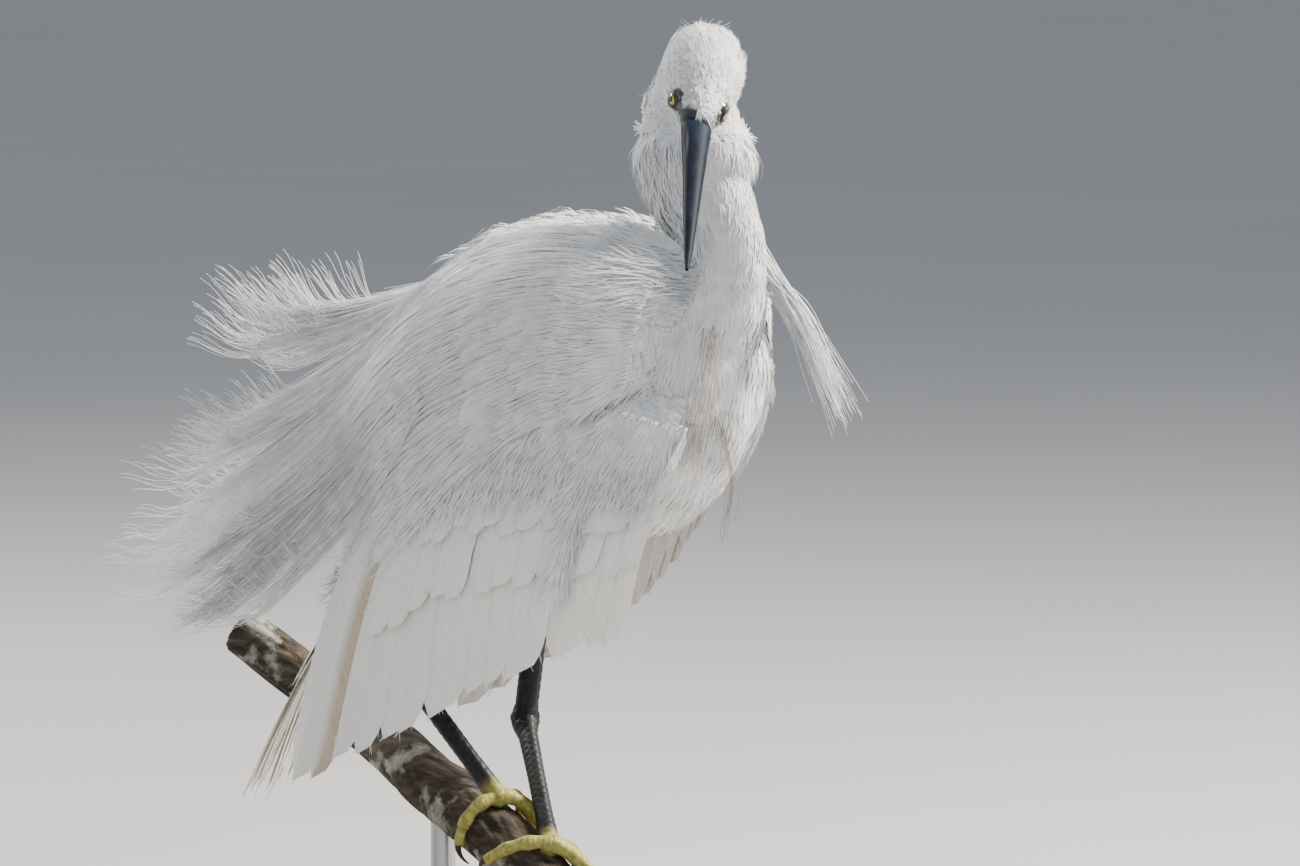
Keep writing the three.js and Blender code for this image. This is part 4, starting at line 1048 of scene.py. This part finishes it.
def threads(lines, thick, thin, name, nodes=(), material=down):
    half = np.broadcast_to(mix(thick, thin, np.linspace(0, 1, lines.shape[1]) ** 0.8), lines.shape[:2])
    side = np.broadcast_to(UPWARD, lines.shape)
    ribbons(lines, half, side, skin_uv(lines[:, 0]), name, nodes, material, sides=3)


def plumes(rows, name, seed):
    """Loose plumes: each a shaft that curls at its tip, with long free barbs that trail beside it."""
    rng = np.random.default_rng(seed)
    shafts, barbs = [], []
    for row in rows:
        paths, turn = bunch(rng, row["count"], row["lines"], row["locks"], row["curl"])
        straight = drawn(paths, SHAFT_STATIONS)
        count = len(straight)
        shaft = curled(straight, turn, rng.uniform(0.3, 1, count) * row["size"])
        shafts.append(shaft)
        knots = shaft.transpose(1, 0, 2)
        t = np.linspace(0, 1, BARB_STATIONS)
        for _ in range(BARBS):
            stop = rng.uniform(0.6, 1.0, count)
            begin = stop - rng.uniform(0.28, 0.5, count)
            place = mix(begin[:, None], stop[:, None], t[None])
            line = np.stack([spline(knots, place[:, k]) for k in range(BARB_STATIONS)], 1)
            along = unit(np.gradient(line, axis=1))
            out = unit(squared(rng.normal(0, 1, (count, 1, 3)) + turn[:, None] * 0.4, along))
            away = rng.uniform(0.6, 4.2, count)[:, None] * t[None] ** 1.3
            barbs.append(line + out * away[..., None])
    threads(np.concatenate(shafts), *SHAFT_HALF, f"{name}_shafts", [name])
    loose = np.concatenate(barbs)
    for part in range(2):
        threads(loose[part::2], *BARB_HALF, f"{name}_barbs_{part + 1}")


plumes(PLUMES, "plumes_back", 71)


# Silky strands lie over the scapulars, join them to the plumes and soften the coverts
def silk(name, sheet, count, seed, along, spans, reach, heights, half):
    rng = np.random.default_rng(seed)
    begin = rng.uniform(*spans[0], count)
    across = rng.uniform(*spans[1], count)
    run = rng.uniform(*reach, count)
    t = np.linspace(0, 1, SILK_STATIONS)
    ahead = begin[:, None] + run[:, None] * t
    drift, sway = rng.normal(0, 0.02, (count, 1)), rng.normal(0, 0.012, (count, 1))
    aside = across[:, None] + drift * t + sway * np.sin(3 * t)
    u, v = (ahead, aside) if along == "u" else (aside, ahead)
    height = mix(*heights, np.sqrt(t))[None] + rng.uniform(-0.6, 0.9, (count, 1))
    up = sheet.normal(u, v)
    lines = sheet.at(u, v) + up * height[..., None]
    side = np.cross(up, unit(np.gradient(lines, axis=1)))
    wide = mix(half, SILK_TIP, t)[None] * rng.uniform(0.6, 1.3, (count, 1))
    ribbons(lines, wide, side, skin_uv(lines[:, 0]), name)


SILK_STATIONS = 8
SILK_TIP = 0.07
CAPE_SILK = dict(
    along="u", spans=((-0.04, 0.8), (0.0, 0.98)), reach=(0.16, 0.34), heights=(1.0, 4.4), half=0.34,
)
COVERT_SILK = dict(
    along="v", spans=((-0.04, 0.34), (-0.02, 0.72)), reach=(0.07, 0.15), heights=(3.0, 6.0), half=0.5,
)
SILKS = [
    ("silk_cape_right", cape_right, 2800, CAPE_SILK), ("silk_cape_left", cape_left, 1800, CAPE_SILK),
    ("silk_wing_right", wing_right, 2200, COVERT_SILK), ("silk_wing_left", wing_left, 1200, COVERT_SILK),
]
for seed, (name, sheet, count, style) in enumerate(SILKS, 401):
    silk(name, sheet, count, seed, **style)


# Small feathers cover the front and top edges of the wings and the front edges of the scapulars. They
# start from the skin behind and under an edge, and arch over it to a height above the sheet.
EDGE_BACK = 12
EDGE_SINK = 3
COVER_HEIGHT = 5
COVER_ARCH = 4.5


def cover(seed, name, sheet, edge, count, span, depth, length, heading):
    """Tufts from the skin beside a sheet's front or top edge on to it, headed on and along by shares."""
    rng = np.random.default_rng(seed)

    def spots(inward, place):
        return (inward, place) if edge == "front" else (place, inward)

    place = rng.uniform(*span, count)
    k = rng.uniform(0, 1, count)
    zero, deep = np.zeros(count), np.full(count, depth)
    outer, inner = sheet.at(*spots(zero, place)), sheet.at(*spots(deep, place))
    beside = outer - unit(inner - outer) * EDGE_BACK - sheet.normal(*spots(zero, place)) * EDGE_SINK
    skin_place = face_centre[[face_tree.find(spot)[1] for spot in beside]]
    up = sheet.normal(*spots(deep, place))
    arch = up * (COVER_ARCH * np.sin(math.pi * k))[:, None]
    start = mix(skin_place, inner + up * COVER_HEIGHT, k[:, None]) + arch
    onward = unit(inner - skin_place)
    sideways = unit(sheet.at(*spots(zero, place + 0.05)) - sheet.at(*spots(zero, place - 0.05)))
    way = unit(onward * heading[0] + sideways * heading[1] + rng.normal(0, 0.06, (count, 3)))
    reach = rng.uniform(0.8, 1.2, count) * length
    tufts(name, start, unit(squared(up, way)), way, reach, 0.3, 0.08, 0.42, 60.0, skin_uv(start), seed)


# Edge, count, span along the edge, depth past it, length and heading
COVERS = [
    ("cover_wing_right", wing_right, "front", 1600, (0.02, 0.72), 0.22, 14, (0.35, 1.0)),
    ("cover_wing_left", wing_left, "front", 900, (0.02, 0.6), 0.16, 14, (0.35, 1.0)),
    ("cover_cape_right", cape_right, "front", 1100, (0.0, 1.0), 0.16, 16, (1.0, 0.0)),
    ("cover_cape_left", cape_left, "front", 700, (0.0, 1.0), 0.12, 16, (1.0, 0.0)),
    ("cover_wing_right_top", wing_right, "top", 1250, (0.02, 0.5), 0.2, 14, (1.0, 0.15)),
    ("cover_wing_left_top", wing_left, "top", 700, (0.02, 0.5), 0.2, 14, (1.0, 0.15)),
]
for seed, row in enumerate(COVERS, 411):
    cover(seed, *row)


# Sprays of loose strands: count, half width, how far they wander at each place, and the places
TAN_LOW, TAN_HIGH = (0.12, 0.075, 0.04), (0.36, 0.25, 0.14)
tan = down_finish("down_tan", TAN_LOW, TAN_HIGH).material
SPRAYS = [
    ("plumes_breast", down, 150, 0.30, (3.0, 2.0, 2.6, 5.0),
     [(44, 6, 78), (52, 14, 62), (60, 20, 48), (80, 26, 8)]),
    ("plumes_breast_low", down, 60, 0.26, (3.0, 2.0, 2.0, 3.0),
     [(44, 7, 70), (52, 15, 58), (58, 19, 46), (71, 25, 24)]),
    ("strands_breast_tan", tan, 16, 0.13, (3.0, 3.0, 3.4, 5.0),
     [(40, -4, 54), (49, -15, 42), (50, -20, 24), (46, -26, -17)]),
    ("strands_belly_tan", tan, 10, 0.12, (2.4, 2.0, 1.8, 2.4),
     [(44, -8, 12), (50, -8, -4), (50, -6, -18), (45, -7, -40)]),
    ("strands_vent", down, 150, 0.28, (9, 9, 9, 9),
     [(-78, -4, -48), (-80, -6, -70), (-84, -10, -84), (-90, -12, -99)]),
    ("strands_vent_tan", tan, 14, 0.2, (8, 7, 7, 6),
     [(-70, -4, -52), (-74, -6, -70), (-78, -8, -84), (-84, -10, -101)]),
]
SPRAY_STATIONS = 14
SPRAY_TIP = 0.07


def scatter(rng, count):
    return rng.normal(0, 1, (count, 3)).clip(-1.8, 1.8)


for order, (name, material, count, half, wander, places) in enumerate(SPRAYS):
    rng = np.random.default_rng(500 + order)
    own = scatter(rng, count)
    spots = []
    for place, amount in zip(places, wander):
        spots.append(np.array(place, float) + (0.75 * own + 0.4 * scatter(rng, count)) * amount)
    spots[-1] = mix(spots[-2], spots[-1], rng.uniform(0.45, 1.0, (count, 1)))
    threads(drawn(np.stack(spots), SPRAY_STATIONS), half, SPRAY_TIP, name, material=material)

# Eyes. The lids' rings go by their share of the way from the opening to the edge, and their height.
EYE_ROWS, EYE_COLUMNS = 32, 40
EYE_LOOK = (0.34, 0.93, 0.1)
LID_STATIONS = 48
LID_WIDE, LID_TALL, LID_EDGE = 0.6, 0.36, 0.88
LID_RINGS = ((0, 0.08), (0.12, 0.30), (0.5, 0.42), (1, 0.1), (1, -0.5), (0, -0.2))
eye_look = eye_finish()
lid_look = leg_finish("lid_skin", (0.02, 0.023, 0.016), (0.09, 0.095, 0.05))
lid_points = []
for side, name in ((1, "eye_left"), (-1, "eye_right")):
    centre = on_head([EYE_PLACE[0], side * EYE_PLACE[1], EYE_PLACE[2]])
    look = HEAD_TURN @ unit(np.array([EYE_LOOK[0], side * EYE_LOOK[1], EYE_LOOK[2]]))
    points, polar = ball(centre, EYE_RADIUS, EYE_ROWS, EYE_COLUMNS, look)
    faces = [grid_faces(1, EYE_ROWS, EYE_COLUMNS, True)]
    make(f"{name}_ball", points, faces, [name], eye_look, marks={"ring": polar})
    across = unit(np.cross(look, HEAD_TURN @ np.array([0, 0, 1.0])))
    up = np.cross(across, look)
    turn = np.linspace(0, 2 * math.pi, LID_STATIONS, endpoint=False)
    opening = 1 / np.sqrt((np.cos(turn) / LID_WIDE) ** 2 + (np.sin(turn) / LID_TALL) ** 2)
    round_eye = np.cos(turn)[:, None] * across + np.sin(turn)[:, None] * up
    for share, height in LID_RINGS:
        tilt = mix(opening, LID_EDGE, share)[:, None]
        lid_points.append(centre + (EYE_RADIUS + height) * (np.cos(tilt) * look + np.sin(tilt) * round_eye))
lid_faces = grid_faces(2, len(LID_RINGS), LID_STATIONS, True, True)
make("eye_lids", np.concatenate(lid_points), [lid_faces], [], lid_look)

# Bill: share of its length, half width, and height over and under the mouth
BILL = np.array([
    (0, 6.0, 4.4, 3.3), (0.12, 5.4, 3.9, 3.0), (0.35, 4.1, 3.1, 2.2),
    (0.65, 2.8, 2.2, 1.5), (0.9, 1.5, 1.3, 0.8), (1, 0.6, 0.7, 0.45),
])
BILL_STATIONS, BILL_SIDES = 60, 18
BILL_DROOP = 1.6
MOUTH_GAP = 0.2
LOWER_SHORTER = 2
bill_look = bill_finish()
for upper, name in ((True, "bill_upper"), (False, "bill_lower")):
    t = np.linspace(0, 1, BILL_STATIONS)
    reach = BILL_LENGTH if upper else BILL_LENGTH - LOWER_SHORTER
    half, over, under = (np.interp(t, BILL[:, 0], BILL[:, k]) for k in (1, 2, 3))
    angle = np.linspace(0, math.pi, BILL_SIDES) + (0 if upper else math.pi)
    tall = over if upper else under
    y = half[:, None] * np.cos(angle)
    middle = MOUTH - BILL_DROOP * t[:, None] ** 2 + (MOUTH_GAP if upper else -MOUTH_GAP)
    z = middle + tall[:, None] * np.sin(angle)
    if upper:
        ahead = (t[:, None] * reach - 12) / 8
        groove = np.exp(-ahead ** 2) * np.exp(-((np.abs(np.cos(angle)) - 0.86) / 0.09) ** 2)
        y = y * (1 - 0.16 * groove)
    x = np.broadcast_to((BILL_START + reach * t)[:, None], y.shape)
    points, faces = tube(on_head(np.stack([x, y, z], -1)))
    base = np.r_[np.repeat(ease(0.3, 0.02, t), BILL_SIDES) * 0.85, 0.85, 0]
    make(f"{name}_horn", points, faces, [name], bill_look, marks={"base": base})

# Legs and feet, with scutes raised in their surface
LEGS = {
    "left": dict(
        knee=(-88, 25, -80), ankle=(-93.6, 24, -120.7), foot=(-42, -12.5, -163.5), heading=-62, turn=-1,
    ),
    "right": dict(
        knee=(-111, -24, -66), ankle=(-122.8, -24, -89.1), foot=(-74.5, -8.5, -147.5), heading=-92, turn=1,
    ),
}
LEG_SIDES = 40
SHANK_STEPS, TARSUS_STEPS = 110, 180
SCUTE = 3.2
SCUTE_DEPTH = 0.07
YELLOWED = ((0.16, 0.15, 0.03), (0.40, 0.37, 0.10))
black_leg = leg_finish("leg_black", (0.005, 0.005, 0.006), (0.022, 0.022, 0.023), YELLOWED)
yellow_foot = leg_finish("foot_yellow", (0.20, 0.18, 0.035), (0.50, 0.46, 0.13))
claw_look = leg_finish("claw_horn", (0.012, 0.011, 0.010), (0.07, 0.06, 0.05))


def scuted(length, steps):
    """Bulges of overlapping scutes, staggered round the leg."""
    s = np.linspace(0, length, steps)[:, None] / SCUTE
    a = np.arange(LEG_SIDES)[None] / LEG_SIDES * 5
    shifted = s + 0.5 * (np.floor(a) % 2)
    plate = np.abs(np.sin(math.pi * shifted)) ** 0.5 * np.abs(np.sin(math.pi * a)) ** 0.35
    return 1 + SCUTE_DEPTH * (plate - 0.6)


def leg_part(a, b, rows, steps):
    a, b, rows = np.array(a, float), np.array(b, float), np.array(rows, float)
    t = np.linspace(rows[0, 0], rows[-1, 0], steps)
    halves = np.stack([np.interp(t, rows[:, 0], rows[:, k]) for k in (1, 2)], -1)
    bulges = scuted(np.linalg.norm(b - a), steps)
    return tube(rings(a + (b - a) * t[:, None], halves, (0, 1, 0), LEG_SIDES, bulges)), t


# Share of the way down each part of the leg, and its two half widths
SHANK = [
    (0, 4.6, 4.6), (0.85, 4.5, 4.6), (0.95, 5.4, 5.8), (1.0, 5.7, 6.2), (1.1, 4.1, 4.5), (1.14, 0.8, 0.8),
]
TARSUS = [
    (-0.05, 1.2, 1.2), (-0.03, 3.8, 4.2), (0.03, 5.2, 5.6), (0.12, 3.6, 4.4), (0.4, 3.3, 3.9),
    (0.75, 3.3, 3.8), (0.93, 4.0, 4.2), (1.0, 4.4, 4.2), (1.04, 1.6, 1.6),
]
BRANCH = [
    (-264, 31, -99, 10.6, 10.2), (-215, 42, -128, 11.2, 10.8), (-178, 30, -137, 11.8, 11.4),
    (-126, 10, -151, 12.6, 12.0), (-74, -8, -163.5, 13.0, 12.6), (-38.8, -14, -181, 12.6, 12.6),
    (15, -27, -206, 11.6, 12.0),
]
BRANCH_STEPS = 2001
branch_fine, branch_half = traced(BRANCH, np.linspace(0, 1, BRANCH_STEPS))
branch_run = np.r_[0, np.cumsum(np.linalg.norm(np.diff(branch_fine, axis=0), axis=1))]
branch_ahead = unit(np.gradient(branch_fine, axis=0))

# Each toe's turn from the foot's heading in degrees, and its length
TOES = {"inner": (24, 36), "middle": (0, 44), "outer": (-26, 38), "hind": (180, 28)}
TOE_RADIUS = 3.0
TOE_CLEAR = 0.8
TOE_STEPS, TOE_SIDES = 70, 24
TOE_ACROSS = (0.3, 0.2, 1)
CLAW_LENGTH = 9.0
CLAW_STEPS, CLAW_SIDES = 24, 16


def on_branch(foot, heading, run, lift=0.0):
    """Places of a toe that lies along the branch at an angle and bends round it."""
    start = branch_run[np.linalg.norm(branch_fine - np.array(foot), axis=1).argmin()]
    at = start + run * math.cos(heading)
    centre, along, half = (
        np.stack([np.interp(at, branch_run, column) for column in table.T], -1)
        for table in (branch_fine, branch_ahead, branch_half)
    )
    along = unit(along)
    side = unit(np.cross(along, [0, 0, 1.0]))
    up = np.cross(side, along)
    radius = half[:, 1] + TOE_RADIUS + TOE_CLEAR + lift
    angle = run * math.sin(heading) / radius
    return centre + up * (radius * np.cos(angle))[:, None] + side * (radius * np.sin(angle))[:, None]


def toe_part(foot, heading, reach):
    run = np.linspace(0, reach, TOE_STEPS)
    t = run / reach
    knuckle = 1 + 0.10 * np.sin(2 * math.pi * (3 * t + 0.25))
    ridge = np.abs(np.sin(math.pi * run / 2.0))[:, None] - 0.6
    scutes = 1 + 0.05 * ridge * np.linspace(0, 1, TOE_SIDES)[None]
    half = TOE_RADIUS * mix(1.0, 0.70, t) * knuckle * ease(-0.06, 0.02, t)
    line = on_branch(foot, heading, run)
    return tube(rings(line, np.stack([half, half * 0.92], -1), TOE_ACROSS, TOE_SIDES, scutes))


def claw_part(foot, heading, reach):
    s = np.linspace(0, 1, CLAW_STEPS)
    run = reach - 0.4 + np.linspace(0, CLAW_LENGTH, CLAW_STEPS)
    line = on_branch(foot, heading, run, 0.9 * np.sin(math.pi * s) - 0.8 * s ** 2)
    half = mix(1.7, 0.3, s ** 1.2)
    return tube(rings(line, np.stack([half, half], -1), TOE_ACROSS, CLAW_SIDES))


for name, leg in LEGS.items():
    (points, faces), _ = leg_part(leg["knee"], leg["ankle"], SHANK, SHANK_STEPS)
    make(f"shank_{name}_scutes", points, faces, [f"shank_{name}"], black_leg,
         marks={"yellow": np.zeros(len(points))})
    (points, faces), t = leg_part(leg["ankle"], leg["foot"], TARSUS, TARSUS_STEPS)
    yellow = np.r_[np.repeat(ease(0.86, 0.97, t), LEG_SIDES), 0, 1]
    make(f"tarsus_{name}_scutes", points, faces, [f"tarsus_{name}"], black_leg,
         marks={"yellow": yellow})
    for toe, (turn, reach) in TOES.items():
        heading = math.radians(leg["heading"] + leg["turn"] * turn)
        points, faces = toe_part(leg["foot"], heading, reach)
        make(f"toe_{toe}_{name}_scutes", points, faces, [f"toe_{toe}_{name}"], yellow_foot)
        points, faces = claw_part(leg["foot"], heading, reach)
        make(f"claw_{toe}_{name}_horn", points, faces, [f"claw_{toe}_{name}"], claw_look)

# Branch, with knots given by their share of its length, angle round it and height
BARK_ROWS, BARK_SIDES = 420, 96
BARK_DEPTH = 0.5
BARK_WAVES = 26
KNOTS = [(0.27, 2.4, 0.30), (0.52, 0.6, 0.22), (0.88, -0.5, 0.28)]


def bark():
    rng = np.random.default_rng(11)
    t = np.linspace(0, 1, BARK_ROWS)
    centres, halves = traced(BRANCH, t)
    angle = np.linspace(0, 2 * math.pi, BARK_SIDES, endpoint=False)
    rough = np.zeros((BARK_ROWS, BARK_SIDES))
    for _ in range(BARK_WAVES):
        turns = rng.integers(2, 16)
        waves = rng.uniform(3, 30)
        phase = rng.uniform(0, 6.3, 2)
        wave = turns * angle[None] + phase[0] + 2 * np.sin(waves * t[:, None] + phase[1])
        rough += np.sin(wave) * rng.uniform(0.2, 1) / BARK_WAVES
    rough = 1 + 0.16 * rough - 0.05 * np.abs(np.sin(7 * angle[None] + 3 * np.sin(14 * t[:, None]))) ** 8
    for share, turn, size in KNOTS:
        beside = np.angle(np.exp(1j * (angle[None] - turn)))
        rough += size * np.exp(-(((t[:, None] - share) * 34) ** 2 + (beside * 1.7) ** 2))
    points, faces = tube(rings(centres, halves - BARK_DEPTH, (0, 1, 0), BARK_SIDES, rough))
    cut = np.r_[np.zeros(BARK_ROWS * BARK_SIDES), 1, 1]
    make("perch_branch_bark", points, faces, ["perch_branch"], bark_finish(), marks={"cut": cut})


bark()

# Stand
for name, finish in (("stand_base", wood_finish()), ("stand_rod", steel_finish())):
    for material_slot in bpy.data.objects[name].material_slots:
        material_slot.material = finish

# Floor and light
FLOOR_HALF = 25.0
floor_mesh = bpy.data.meshes.new("floor")
floor_corners = [(x * FLOOR_HALF, y * FLOOR_HALF, 0) for x, y in ((-1, -1), (1, -1), (1, 1), (-1, 1))]
floor_mesh.from_pydata(floor_corners, [], [(0, 1, 2, 3)])
floor = bpy.data.objects.new("floor", floor_mesh)
bpy.context.scene.collection.objects.link(floor)
floor_look = Finish("floor_pale", Roughness=0.85)
floor_grain = floor_look.noise(2, 2)
floor_look.colour(floor_look.ramp(floor_grain, [(0.3, (0.40, 0.40, 0.405)), (0.7, (0.42, 0.42, 0.425))]))
floor_mesh.materials.append(floor_look.material)

world = bpy.data.worlds.new("studio")
world.use_nodes = True
background = world.node_tree.nodes["Background"]
background.inputs["Color"].default_value = (0.84, 0.91, 1.0, 1)
background.inputs["Strength"].default_value = 0.56
bpy.context.scene.world = world


def lamp(name, place, size, power, tint):
    data = bpy.data.lights.new(name, "AREA")
    data.shape = "SQUARE"
    data.size = size
    data.energy = power
    data.color = tint
    light = bpy.data.objects.new(name, data)
    light.location = target + right * place[0] + above * place[1] + back * place[2]
    light.rotation_euler = (light.location - target).to_track_quat("Z", "Y").to_euler()
    bpy.context.scene.collection.objects.link(light)


# Places are to the right, up and towards the camera, in metres
lamp("key", (1.3, 1.2, -0.2), 0.45, 135, (1.0, 0.94, 0.86))
lamp("rim", (-1.3, 1.2, -1.3), 0.9, 40, (1.0, 0.97, 0.93))
lamp("fill", (-1.2, 0.9, 2.0), 1.6, 10, (0.88, 0.94, 1.0))
